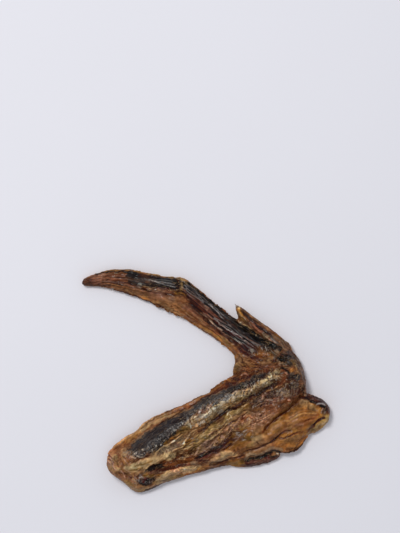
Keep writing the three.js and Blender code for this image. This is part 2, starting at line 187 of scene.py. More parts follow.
def scattered(names, count, spread, length, half, turn, seed, *points, rise=0.15):
    """Short strokes strewn beside a line: `turn` is their angle to it in degrees, and its scatter."""
    draw = random.Random(seed)
    strokes = []
    for _ in range(count):
        number = draw.randrange(len(points) - 1)
        a, b = points[number], points[number + 1]
        x, y = between(a, b, draw.random())
        way = math.atan2(b[1] - a[1], b[0] - a[0])
        aside = draw.uniform(-spread, spread)
        x, y = x - math.sin(way) * aside, y + math.cos(way) * aside
        way += math.radians(draw.gauss(*turn))
        reach = draw.uniform(0.5, 1) * length / 2
        dx, dy = math.cos(way) * reach, math.sin(way) * reach
        name = draw.choice(names)
        thick = half * draw.uniform(0.7, 1.2)
        lift = rise if name in PALE else -rise
        strokes.append(mark(name, draw.uniform(0.45, 0.9), thick, lift, (x - dx, y - dy), (x + dx, y + dy)))
    return strokes


# The middle line of the pale band of feather sheaths
SHEATHS = (
    (-8, -20.6, 0.5), (-5, -19.6, 0.9), (-2, -18.8, 1.1), (0, -17.6, 1.1), (4, -14.6, 1.15),
    (8, -11.6, 1.1), (11, -9.4), (14, -8), (18, -6.8, 0.8), (21, -5.3, 0.75), (24, -4, 0.9),
    (27, -2.2, 0.9), (30, 0, 0.9), (32.4, 1.9), (34.2, 2.2),
)

FOREARM = (
    # Skin band along the bay, its orange partly the skin's colour and partly painted glow of light through
    # the thin skin
    mark("tan", 0.95, 3.8, 0, (-45, -35, 0.8), (-36, -28.5), (-27, -21.4), (-16, -15.6), (-4, -9.8, 0.8)),
    mark("amber", 0.6, 1.2, 0.15, (-41, -31), (-35, -27.2), (-30.6, -24), (-27, -21.6)),
    mark("russet", 0.5, 0.8, -0.15, (-37.4, -30.4), (-35.2, -28.6), (-30, -24.8), (-26, -22.4),
         (-20.6, -19.8), (-17, -18)),
    mark("sand", 0.6, 1.5, 0.1, (-44, -32), (-38, -28.4), (-34, -25.6), (-30, -22.8)),
    mark("sand", 0.75, 1.3, 0.1, (-31, -23.6), (-27.4, -20.6), (-23.6, -18.6), (-20.6, -17), (-17, -15.8)),
    mark("russet", 0.3, 1, 0, (-44, -33.6), (-40, -30.8), (-37, -29.6)),
    mark("moss", 0.5, 0.8, 0, (-20, -16.6), (-16, -15), (-11, -13)),
    mark("russet", 0.85, 1.9, 0.2, (-17, -14.9, 0.6), (-10, -11.8), (-4, -8.8), (3, -4.8), (9, -1.2),
         (12, 1.4, 0.6)),
    mark("amber", 0.5, 0.6, 0, (-8, -9.6), (0, -6.2), (7, -2), (10, 0.6)),
    mark("umber", 0.7, 0.35, -0.3, (-23, -21.2), (-15, -16.8), (-6, -11.8), (2, -7.6)),
    mark("tan", 0.5, 0.8, 0, (-32, -23.4), (-26, -19.8), (-20, -16.4), (-10, -12), (-3, -8.6), (3, -5.4)),
    mark("amber", 0.6, 0.8, 0.1, (-37.6, -29.2), (-34, -26.6), (-31, -24.6)),
    mark("maroon", 0.7, 0.6, -0.3, (-2, -9.2), (3, -6.8), (8, -4), (12, -2.4)),
    mark("sand", 0.55, 0.3, 0.2, (-4, -11), (2, -8), (6, -6.2), (9, -4.7), (12.6, -3.3)),
    # Row of plucked quills
    mark("charcoal", 0.97, 3.9, 0.25, (-36, -34.2, 0.5), (-33, -33.2, 0.85), (-30, -32, 1.1),
         (-26, -29.8, 1.15), (-23, -27, 1.02), (-20, -24.8, 0.92), (-17, -22.3, 0.8), (-14, -20.2, 0.7),
         (-11, -18.2, 0.6), (-8, -16, 0.48), (-5, -13.6, 0.36), (-2, -11.6, 0.3)),
    mark("charcoal", 0.95, 1.5, 0.2, (-4, -12.6, 0.8), (0, -10.4), (5, -7.8, 0.85), (9, -5.7, 0.75),
         (12, -4.3, 0.6), (16, -3.3, 0.8), (20, -1.9, 1.1), (25, 1.4, 1.5), (28.6, 3.2, 1.4)),
    mark("soot", 0.6, 1.5, 0, (-27, -26), (-23.4, -23.8), (-20, -21.6), (-16.6, -19.2), (-13, -18.4),
         (-10, -16.6)),
    mark("soot", 0.4, 1, 0, (-32, -31), (-29, -28.8)),
    mark("soot", 0.75, 1.6, 0, (12, -4.6), (16, -3.2), (20, -2.2), (24, 0.4), (28.6, 2.4)),
    mark("soot", 0.85, 0.6, -0.4, (-25.2, -33.2), (-22.4, -30.8), (-20.2, -28.8), (-18, -26.7),
         (-16, -25.2), (-14.4, -24.6)),
    mark("maroon", 0.85, 0.7, -0.3, (-37.2, -34), (-36.8, -35.8), (-35.4, -37.2), (-34.2, -38.5, 1.6)),
    mark("ash", 0.35, 1, 0.1, (-20.6, -25.8), (-18, -24.4)),
    mark("ash", 0.25, 1.3, 0.1, (-28, -32.8), (-25.4, -30.2)),
    mark("ash", 0.22, 1.2, 0.1, (-34, -34.4), (-30.6, -34.4)),
    mark("chalk", 0.7, 0.3, 0.3, (-35.2, -36.2), (-33.6, -36.6)),
    mark("chalk", 0.55, 0.3, 0.3, (-32.2, -35.4), (-31.2, -36.2), (-29.2, -36.2)),
    mark("mauve", 0.5, 0.8, 0, (-27.6, -34.4), (-26.2, -35.2)),
    *scattered(("ash", "chalk", "soot", "soot"), 56, 1.7, 1, 0.22, (30, 60), 54, (-35, -35.2), (-30, -35),
               (-26, -32.2), (-21, -28.4), (-15.6, -23.8), (-10, -19.4)),
    mark("charcoal", 0.7, 1.3, 0, (-27, -30.6), (-23, -28.4), (-19, -25), (-15.4, -21.8)),
    # Pale band of feather sheaths
    mark("cream", 0.95, 2.4, 0.3, *SHEATHS),
    mark("sand", 0.9, 1.7, 0.1, (-6, -20.6, 0.6), (-1.4, -19.6), (2, -17.8), (5.4, -15.2),
         (9.2, -12.2, 0.8), (13, -10, 0.6)),
    mark("chalk", 0.6, 1, 0, (-4, -17.8), (1, -15.8), (5, -13.2), (9, -10, 0.7), (14, -7.6, 0.6),
         (18, -6.8, 0.6)),
    mark("sand", 0.45, 1.2, 0.1, (22.6, -4.8), (25, -3.4), (28.6, -1.2), (31, 0.8), (34, 2.2)),
    mark("mauve", 0.75, 1.3, 0, (-2.2, -14.6), (0.4, -14)),
    mark("chalk", 0.45, 0.3, 0.3, (-3, -15), (-2.6, -13), (-0.8, -12.2), (1.4, -12.8), (1.8, -14.6),
         (0.2, -16.2), (-2, -16.2), (-3, -15)),
    mark("charcoal", 0.85, 0.8, 0, (3.2, -11.4), (5.2, -10.6)),
    mark("pewter", 0.85, 1.2, 0, (8.2, -8.3), (9.6, -8), (11.4, -7.4)),
    mark("ash", 0.4, 0.8, 0.1, (4.6, -8.6), (7.2, -7.6)),
    mark("charcoal", 0.8, 0.45, 0, (7.3, -9.4), (7.8, -8.4)),
    mark("charcoal", 0.7, 0.45, 0, (10.4, -8.8), (11, -7.9)),
    mark("moss", 0.55, 0.6, 0, (-8, -19.2), (-5, -18)),
    mark("ochre", 0.5, 0.5, 0, (0.5, -18.8), (2.4, -16.8)),
    mark("ochre", 0.6, 0.6, 0, (10.4, -11.4), (14, -9.6), (18, -8.8)),
    mark("moss", 0.5, 0.5, 0, (23.6, -1.4), (25, -2)),
    # Painted highlights: white glints on the pale band
    mark("chalk", 0.75, 0.6, 0.3, (-0.6, -17.6), (0.2, -17.4)),
    mark("chalk", 0.6, 0.5, 0.3, (-2.2, -19.6), (-1.4, -19.3)),
    mark("tan", 0.8, 1.2, 0.5, (-5.4, -21.8), (-3, -21), (0, -19.6)),
    mark("chalk", 0.4, 0.5, 0.1, (12.8, -8), (13.4, -6.2), (15, -5.6)),
    mark("chalk", 0.6, 0.5, 0.2, (17.2, -5), (18, -4.6)),
    mark("chalk", 0.65, 0.7, 0.2, (24.6, -4.2), (26.2, -3.4)),
    mark("chalk", 0.5, 0.5, 0.2, (27.4, -1.6), (28.4, -1.2)),
    mark("rose", 0.5, 0.4, 0.3, (21.2, -3.8), (21.6, -5)),
    mark("umber", 0.8, 0.6, -0.2, (31, -0.2), (32.8, 0)),
    mark("umber", 0.4, 0.4, -0.2, (31.5, 3.8), (31.8, 1.6)),
    *scattered(("umber", "charcoal", "moss", "grey"), 34, 2, 1.5, 0.24, (55, 25), 51, *SHEATHS),
    *scattered(("chalk", "sand", "chalk", "sand"), 64, 2.1, 1.9, 0.22, (55, 22), 52, *SHEATHS),
    *scattered(("ash", "charcoal"), 26, 1.2, 1.6, 0.24, (52, 30), 53, (-7, -16.4), (4, -10.4), (14, -5.4)),
    # Painted highlight: a white glint on the pale band
    mark("chalk", 0.9, 1, 0.2, (4.2, -13.6), (5.6, -14.8), (7.2, -14.8)),
    mark("sand", 0.8, 1, 0.1, (24.4, -5), (27, -3.8)),
    mark("soot", 0.7, 0.7, -0.1, (16.4, -3.6), (19, -2.8), (21.6, -1.8)),
    # Painted highlights: white glints on the pale band
    mark("chalk", 0.85, 0.7, 0.2, (-3, -16.9), (-1.4, -17.2), (0.4, -17)),
    mark("chalk", 0.8, 0.5, 0.2, (-2.6, -19.8), (-1, -19.4)),
    # Groove below the pale band
    mark("umber", 0.88, 0.75, -0.4, (35, -1, 0.5), (31.5, -2), (28, -4.4), (25, -6.4), (22, -7.7),
         (19.6, -9.2), (16.8, -11.2), (13.6, -12.9), (10, -14.2), (7.6, -16), (4, -18.6), (1, -21.2),
         (-0.8, -22.8), (-3, -24.4, 0.6)),
    mark("soot", 0.3, 0.4, -0.2, (14, -12.8), (10, -14.2), (7, -16.4), (4, -18.6), (1.4, -20.8)),
    mark("mauve", 0.6, 0.9, 0, (5.4, -19), (7.6, -17.8)),
    # Patches along the pale band and the row of quills
    mark("cream", 0.6, 0.9, 0.1, (2.6, -15.8, 0.5), (5.5, -14), (8.4, -12.4, 0.5)),
    mark("sand", 0.6, 0.7, 0.1, (23.6, -5.2, 0.5), (25.5, -4), (27.2, -3.2, 0.5)),
    mark("pewter", 0.5, 0.8, 0, (8.4, -9.4, 0.5), (11, -8), (13.4, -6.8, 0.5)),
    mark("umber", 0.45, 0.9, 0, (17.4, -4.4, 0.5), (20, -3), (23, -1.4, 0.5)),
    mark("umber", 0.5, 0.8, 0, (26, 0.4, 0.5), (28, 1.5), (29.6, 2.6, 0.5)),
    mark("charcoal", 0.6, 1.4, 0, (-34, -31.4, 0.5), (-30.5, -28.5), (-26.2, -26.2), (-21.9, -23.2),
         (-15.4, -18.6, 0.6)),
)

WEB = (
    # Folds of thin skin between the forearm and the upper arm
    mark("moss", 0.55, 6, 0, (-16, -33), (-6, -30.4), (4, -25), (12, -18)),
    mark("tan", 0.6, 1.3, 0, (-5, -24.6), (-1, -23.4), (2, -21.6)),
    mark("ochre", 0.8, 1.3, 0, (-12, -22.9, 0.7), (-8, -22.2), (-5, -22.1), (-3.2, -22.4, 0.6)),
    mark("olive", 0.95, 1.4, 0, (-24, -33.8, 0.6), (-21, -31), (-17.6, -28.4), (-14, -26), (-11, -24.4),
         (-8, -23.6, 0.7)),
    mark("amber", 0.5, 0.7, 0, (-17.4, -27.4), (-15.6, -26.6)),
    mark("sand", 0.75, 1.5, 0.1, (-25.4, -36), (-21.6, -33.8), (-18, -32.8)),
    mark("dun", 0.85, 2.1, 0, (-22.4, -34.4, 0.5), (-18, -32.4, 0.9), (-14, -30.6), (-11.4, -28.6),
         (-9.2, -26.6, 0.5)),
    mark("mauve", 0.5, 0.7, 0, (-14, -29.4), (-12.4, -30.6)),
    mark("sand", 0.75, 0.32, 0.4, (-24.2, -35.2), (-22.6, -33.4), (-21, -31.8), (-19.4, -31.1),
         (-17.2, -30.3), (-15.4, -29.1), (-13.8, -27.7), (-11.6, -26.2), (-8.8, -24.6)),
    mark("sand", 0.8, 0.34, 0.4, (-17.6, -34), (-15.6, -33.2), (-13.4, -32.3), (-11, -31.6),
         (-9.9, -30.6), (-10, -29.4), (-8.7, -27.2), (-7.2, -25.4), (-5.4, -23.8), (-2.8, -22.7)),
    # Painted highlights: white glints on the folds
    mark("chalk", 0.7, 0.3, 0.2, (-15.6, -29.4), (-14.2, -28)),
    mark("chalk", 0.75, 0.35, 0.2, (-10.4, -29.5), (-9.7, -28.5)),
    mark("chalk", 0.6, 0.3, 0.2, (-8.4, -26.6), (-7, -25.2)),
    mark("sand", 0.6, 0.3, 0.3, (-20, -32.8), (-19.2, -34), (-19.6, -35)),
    mark("sand", 0.6, 0.3, 0.3, (-17.4, -33.8), (-17.2, -35.2)),
    mark("olive", 0.75, 1, -0.2, (-9.4, -31.8), (-8, -28.8), (-6.6, -26.8)),
    mark("brown", 0.6, 1.6, 0, (-14, -34.2), (-9, -33.2), (-6, -33)),
    mark("umber", 0.5, 1.4, -0.2, (-13, -36.6), (-9, -35.8), (-6, -34.8)),
    mark("amber", 0.55, 1, 0.1, (-7, -31.2), (-4.6, -29.8), (-2, -28.6)),
    mark("olive", 0.7, 0.6, -0.2, (-5.4, -31.6), (-2.6, -30.2), (0.6, -28)),
    mark("tan", 0.6, 1.6, 0, (-12, -26), (-7.6, -24.4), (-3.4, -23), (-1, -24.6)),
    mark("moss", 0.8, 1.6, 0.2, (-4, -28.6), (-1.6, -26.6), (1.6, -24), (4.6, -21.6), (8, -18.8),
         (11, -16.4), (16, -13.6, 0.7)),
    mark("sand", 0.6, 0.6, 0.2, (-2.4, -26.6), (-0.8, -25.2)),
    mark("rose", 0.55, 0.3, 0.25, (0.4, -25.9), (2, -25), (3.4, -24.4)),
    mark("maroon", 0.55, 0.45, -0.2, (1.6, -26), (3.4, -25), (5, -23.8)),
    mark("sand", 0.8, 0.38, 0.35, (3.2, -26.7), (5.2, -25.4), (6.8, -23.8), (8.6, -22), (10.2, -20.4)),
    mark("umber", 0.7, 0.5, -0.3, (3.4, -28), (5.4, -26.4), (7.2, -24.6), (9, -22.6), (11, -20.6)),
    mark("chalk", 0.6, 0.32, 0.3, (10.2, -16), (11.6, -14.3)),
    mark("chalk", 0.5, 0.25, 0.2, (11.4, -16.2), (12.6, -17.6)),
    mark("sand", 0.75, 0.5, 0.3, (14.4, -14.7), (15.6, -13.7)),
    mark("sand", 0.75, 0.32, 0.3, (22.4, -9.8), (20, -10.9), (17.8, -12.3)),
    mark("ochre", 0.6, 0.7, 0.1, (16, -14.6), (19, -12.8), (22.6, -10.8)),
    mark("tan", 0.6, 0.5, 0.15, (14, -17.2), (17, -15.6), (20, -15)),
    # Reddish ridge and the dark valley below it
    mark("tan", 0.9, 2.1, 0.5, (-5, -34.8, 0.5), (-2.4, -32.4, 0.7), (1.6, -30), (5, -27.8), (8.4, -25),
         (11, -22.6), (13.6, -20.4), (16.8, -17.8), (20, -15.4, 0.6)),
    mark("rose", 0.6, 1.3, 0, (-1, -30.6), (2, -29.2), (6, -26.6), (10, -23.8), (13, -21.4)),
    mark("russet", 0.5, 0.7, 0, (1, -29.2), (5, -26.6), (8, -24.2)),
    mark("amber", 0.6, 0.6, 0.1, (5.8, -28), (6.6, -27)),
    # Painted highlights: rose lines along the ridge's crest
    mark("rose", 0.7, 0.35, 0.3, (-5.2, -35.4), (-4, -33.6), (-2.8, -31.8)),
    mark("rose", 0.55, 0.3, 0.2, (-3.4, -34.6), (-1.4, -33.2)),
    mark("rose", 0.85, 0.35, 0.3, (0.4, -31.7), (1.8, -31.2), (3, -31.5)),
    mark("rose", 0.6, 0.35, 0.2, (1.8, -30.6), (3.4, -30), (4.6, -28.7)),
    mark("rose", 0.9, 0.42, 0.35, (7.4, -26.9), (9.2, -26.1), (10.4, -25.2), (11.2, -23.8), (12, -22.3)),
    mark("rose", 0.65, 0.35, 0.25, (13, -21.6), (14.4, -20.2), (15.4, -19)),
    mark("rose", 0.5, 0.35, 0.2, (18, -17.4), (19.6, -16)),
    mark("maroon", 0.7, 0.5, -0.4, (8, -28.6), (9.8, -27.3), (11.4, -26), (12.4, -24.4)),
    mark("maroon", 0.65, 0.6, -0.3, (11.4, -20.6), (13, -19.4), (15, -18.2), (17, -17)),
    mark("blood", 0.55, 0.5, -0.2, (15.6, -20), (17, -18.6), (18.4, -17.6)),
    mark("blood", 0.6, 0.45, -0.3, (13.4, -22.8), (15.2, -22.6)),
    # Painted highlight: a pale glint
    mark("sand", 0.3, 0.28, 0.1, (13.4, -24.4), (16, -24)),
    mark("tan", 0.5, 1.2, 0, (15, -17), (18.4, -15), (21, -14)),
    mark("sand", 0.7, 1, 0.2, (18, -20.8), (20, -20.2), (20.6, -18.6)),
    mark("soot", 0.85, 1.5, -0.2, (-27.6, -42.6, 0.5), (-26, -41.6), (-23.6, -41), (-20.6, -40.2, 0.7)),
    mark("maroon", 0.7, 0.8, -0.1, (-25, -43.4), (-21, -42), (-17, -41), (-13, -40), (-9.6, -39)),
    mark("russet", 0.6, 1.2, 0, (-19, -39), (-12, -38), (-7, -37.2), (-2, -35.6)),
    mark("maroon", 0.92, 1.6, -0.5, (-4.6, -36.7, 0.5), (-1, -35.1), (2, -33.9), (5, -32.5), (7.6, -31),
         (9.4, -29.2, 0.7), (12, -27.4, 0.3)),
    mark("soot", 0.7, 0.5, -0.3, (-3.8, -36.7), (-0.8, -34.9), (2, -34)),
    mark("soot", 0.5, 0.6, -0.2, (4.4, -32.2), (7.6, -30.9)),
    mark("umber", 0.8, 0.5, -0.5, (8.2, -32.4), (10.4, -30.9), (12.6, -29.9)),
    mark("umber", 0.6, 0.4, -0.3, (10.4, -28.8), (13.6, -28)),
    mark("maroon", 0.7, 0.7, -0.2, (-4, -37.9), (-1, -38), (1.4, -37.8)),
    mark("sand", 0.7, 0.4, 0.25, (-30.4, -44.6), (-28.4, -42.2), (-26.6, -40.4), (-24.8, -39.2),
         (-22.6, -38.6)),
    *scattered(("sand", "tan", "umber", "sand"), 60, 4.5, 3.4, 0.2, (0, 14), 61, (-12, -32), (-2, -27),
               (8, -20), (18, -13)),
    mark("tan", 0.9, 1.2, 0.2, (9.8, -25.6), (11.4, -24.2), (12.6, -22.8)),
    mark("rose", 0.8, 0.7, 0.2, (10.4, -25), (12.4, -23.2)),
    mark("sand", 0.5, 0.8, 0.1, (10.8, -25), (12.6, -23.4)),
    mark("rose", 0.5, 1.1, 0.1, (-0.6, -30), (1.4, -29)),
    *scattered(("rose", "rose", "maroon"), 30, 1.8, 2, 0.2, (8, 22), 62, (-4, -34.4), (4, -29),
               (12, -22.4), (19, -16.6)),
    *scattered(("russet", "sand", "umber"), 30, 1.6, 3, 0.22, (0, 12), 63, (-22, -38), (-14, -36),
               (-6, -34)),
)

ELBOW = (
    mark("tan", 0.75, 6.6, 0, (-41.4, -37.5), (-37, -44), (-33, -49)),
    mark("sand", 0.6, 2.2, 0.1, (-44.6, -35.6), (-43.8, -39), (-42.6, -41.4)),
    mark("russet", 0.4, 1.4, 0, (-44.6, -34.2), (-41.6, -32.6), (-38, -31.6), (-36, -31.2)),
    mark("rust", 0.5, 1.4, 0, (-41, -34.4), (-39, -37.6), (-36.4, -38.4)),
    mark("mauve", 0.6, 0.9, 0, (-36.8, -34.8), (-35.8, -36.8)),
    mark("russet", 0.5, 0.9, -0.15, (-41.2, -35), (-40.6, -37), (-39.4, -39.4), (-39, -42)),
    mark("russet", 0.45, 0.8, -0.1, (-44, -39), (-42, -39.8), (-40, -40.6)),
    mark("rose", 0.5, 0.8, 0.15, (-45.2, -35), (-44.6, -37), (-45.4, -39.4)),
    mark("moss", 0.6, 0.8, 0.15, (-42.2, -35.6), (-42.4, -37.6), (-41.8, -39)),
    mark("sand", 0.6, 1.3, 0.15, (-38.4, -32.8), (-37.6, -34.6), (-38.4, -35.4)),
    mark("amber", 0.5, 1, 0, (-38.6, -36.4), (-37.2, -38.6)),
    mark("moss", 0.5, 1.1, 0, (-44.8, -41.4), (-42.6, -42)),
    mark("sand", 0.85, 2, 0.35, (-37.4, -41.4, 0.5), (-34, -41.4, 0.9), (-30.4, -40.2, 1.25),
         (-26, -38, 0.95), (-22, -37, 0.75), (-18, -35.9, 0.6), (-14.4, -34.8, 0.4)),
    mark("cream", 0.6, 1.5, 0, (-34, -40.6), (-29.6, -39), (-25, -37.6), (-20, -36.4), (-16, -35.4)),
    mark("olive", 0.6, 0.35, -0.2, (-35.6, -42.3), (-32.4, -42.2), (-30, -41.6)),
    mark("ochre", 0.5, 0.4, -0.1, (-33, -40.6), (-29, -39.4), (-25, -38)),
    mark("rose", 0.6, 0.3, 0.2, (-31.8, -39.2), (-31.2, -38)),
    mark("umber", 0.5, 0.7, -0.35, (-43, -43.1, 0.6), (-41, -43.6), (-38, -44.2), (-35.4, -45.2),
         (-33.6, -46.4, 0.7)),
    mark("tan", 0.6, 1.6, 0, (-45.6, -36.6), (-45.8, -40), (-43.8, -42.4)),
    mark("tan", 0.6, 1.3, 0, (-36, -49.4), (-33, -51.2), (-28, -50.6)),
    mark("mauve", 0.5, 1.2, 0, (-40, -45.2), (-36.6, -46.4), (-35, -47.6)),
    mark("moss", 0.7, 1.2, 0, (-37, -48), (-34.6, -50), (-31, -51.6), (-28, -51.2)),
    mark("sand", 0.55, 0.45, 0.2, (-27.6, -51), (-24, -49.3), (-20.6, -47.8)),
    mark("tan", 0.7, 1, 0, (-33.6, -49.8), (-31, -50.2), (-28, -50)),
    mark("soot", 0.88, 1.5, -1.2, (-31.2, -47.4, 0.7), (-29.4, -47.8), (-26.4, -47.4), (-24, -46.6, 0.5)),
    mark("umber", 0.7, 0.7, -0.4, (-32, -46), (-30, -44.2), (-28, -43)),
    mark("blood", 0.85, 0.8, 0.4, (-29, -47.2), (-27.8, -46.2)),
    mark("olive", 0.85, 1, 0.2, (-28.2, -44.3), (-26.6, -45.2), (-24.6, -45.2)),
    mark("ash", 0.7, 0.38, 0.5, (-31.8, -47.4), (-31, -45.8), (-30, -45.2), (-29.4, -46)),
    mark("ash", 0.5, 0.35, 0.3, (-30.4, -47.8), (-29.6, -47.4)),
    mark("sand", 0.55, 0.4, 0.3, (-34.4, -46), (-33.4, -46.8), (-32.8, -48.4), (-32.8, -49.6)),
    mark("grey", 0.6, 0.7, 0.2, (-26, -47.4), (-24.4, -47)),
    *scattered(("russet", "rose", "rust", "russet"), 30, 4.4, 4, 0.3, (12, 16), 64, (-43, -35),
               (-41, -41), (-35, -48)),
)

UPPER_ARM = (
    # Ridges of skin along the lower edge
    mark("brown", 0.8, 2.2, 0, (-25, -45), (-16, -42.4), (-6, -39.6), (2, -38)),
    mark("mauve", 0.5, 0.9, 0, (-25, -43.8), (-21, -42.9)),
    mark("umber", 0.5, 1, 0, (-25, -44.6), (-20.6, -43.4), (-16, -42)),
    mark("amber", 0.6, 0.8, 0, (-22, -45.3), (-17, -45), (-12, -43.9), (-8, -43.2), (-4, -42)),
    mark("moss", 0.7, 0.9, 0.1, (-24, -48), (-18, -46.4), (-11, -44.8)),
    mark("sand", 0.6, 0.7, 0.1, (-23.4, -47), (-18, -45.8), (-13, -44.4)),
    mark("sand", 1, 1.35, 0.5, (-20.6, -45.2, 0.3), (-19, -44.6, 0.7), (-17.6, -43.8), (-15.4, -43, 1.1),
         (-12, -42.3, 1.1), (-9, -41.9, 1.1), (-6.4, -41.4, 0.8), (-3, -40.8, 0.6)),
    # Painted highlight: a white glint on the ridge
    mark("chalk", 0.7, 0.4, 0.2, (-10.4, -42.3), (-9.6, -42.2)),
    mark("rose", 0.6, 0.5, 0.1, (-15.6, -42.5), (-13, -42.2)),
    mark("rose", 0.5, 0.4, 0.2, (-14.2, -41.4), (-12.4, -40.9), (-11.2, -40.2)),
    mark("blood", 0.55, 0.5, -0.3, (-16.4, -41.7), (-12, -40.2), (-8, -39.8)),
    mark("dun", 0.7, 0.8, 0.1, (-6.4, -39.1), (-4.6, -38.9)),
    mark("sand", 0.7, 0.4, 0.2, (-3.2, -40.8), (-2.4, -40.4)),
    mark("amber", 0.7, 0.8, 0.1, (-3.4, -41.5), (1, -40.4), (6, -39.4)),
    mark("tan", 0.85, 2, 0.5, (1, -38.8, 0.4), (4, -37.8, 0.8), (7.4, -36.2), (10.6, -34.4),
         (14, -34.6, 0.7)),
    mark("sand", 0.6, 1.1, 0.2, (3.4, -37.8), (6.6, -36.8), (9.4, -35.8)),
    mark("sand", 0.75, 1, 0.3, (8, -35), (9.6, -33.6), (11.6, -33.9), (13.6, -35.2)),
    mark("rose", 0.5, 0.5, 0.1, (4.6, -35.4), (6.4, -34.8)),
    mark("rose", 0.4, 0.5, 0.1, (2.8, -37.8), (4.4, -37.2)),
    mark("umber", 0.75, 0.5, -0.6, (2, -39.8), (7.6, -38.6), (12.7, -36.9), (16, -35.9), (19, -35.4)),
    mark("russet", 0.5, 1, 0, (8, -39.5), (12, -38.4), (15, -37.4)),
    mark("moss", 0.6, 0.6, 0, (14.8, -39), (17, -37.6)),
    # Smooth patch above the muscle
    mark("olive", 0.6, 2.8, 0.1, (11.6, -30.4), (16, -30), (20, -32.4)),
    mark("olive", 0.97, 2.2, 0, (12, -27.6, 0.5), (15, -26.4), (19, -26.6), (22, -26.8, 0.7)),
    mark("umber", 0.5, 1.4, 0, (13, -26.8), (17, -26.6)),
    mark("amber", 0.6, 0.8, 0.1, (20, -25.6), (23.4, -25.4), (26, -26)),
    mark("rust", 0.7, 1.4, 0, (15.6, -32.6), (18.6, -32.8), (21.4, -32)),
    mark("tan", 0.7, 2.2, 0.2, (20, -31.6), (24, -29), (29, -27.2)),
    mark("sand", 0.5, 1.1, 0.2, (23, -28.2), (25.6, -26.9), (28, -26.4)),
    mark("moss", 0.7, 0.9, 0.1, (20, -30.8), (21.6, -30)),
    mark("umber", 0.5, 0.4, -0.2, (15.2, -31.6), (15.6, -32.8)),
    mark("umber", 0.5, 0.35, -0.2, (19, -31), (19.6, -31.5)),
    mark("umber", 0.5, 0.35, -0.2, (24.2, -29.3), (24.8, -30)),
    # Crinkled skin below the wrist
    mark("tan", 0.7, 4.2, 0.2, (21, -21.5, 0.8), (25, -18.8), (31, -16.2), (36, -12.8, 0.5)),
    mark("rose", 0.3, 2.6, 0, (22, -20.6), (27, -18)),
    mark("russet", 0.65, 2.2, 0, (30, -13.6), (34, -13), (38, -11)),
    mark("russet", 0.35, 1.2, 0, (28, -19.6), (33, -16.6), (37, -13.4)),
    mark("olive", 0.85, 1.3, 0, (16.6, -22.4), (18.4, -21.7), (19.8, -21.6)),
    mark("amber", 0.5, 0.8, 0.1, (23.4, -13.4), (26, -13.8), (29, -14)),
    mark("tan", 0.45, 1, 0.4, (27, -29.2), (31, -26.4), (36, -23.8)),
    mark("tan", 0.8, 1.1, 0.2, (23, -25), (25, -24), (27.4, -23)),
    *bundle("umber", 0.5, 0.25, -0.2, 7, [(19, -17), (26, -13.6), (35, -11)],
            [(18, -22.6), (26, -20.6), (35, -15)], 31),
    *bundle("rose", 0.4, 0.22, 0.15, 9, [(19, -17), (26, -13.6), (35, -11)],
            [(18, -22.6), (26, -20.6), (35, -15)], 32),
    *scattered(("rose", "russet", "russet"), 40, 3.2, 1.2, 0.25, (0, 50), 65, (21, -21), (25, -18.6),
               (31, -16)),
    mark("rose", 0.5, 1, 0.2, (8.6, -25.8, 0.5), (11.5, -24), (14, -22.4, 0.5)),
    mark("sand", 0.4, 0.9, 0.1, (11.6, -16.2, 0.5), (14, -15), (16.4, -14, 0.5)),
)

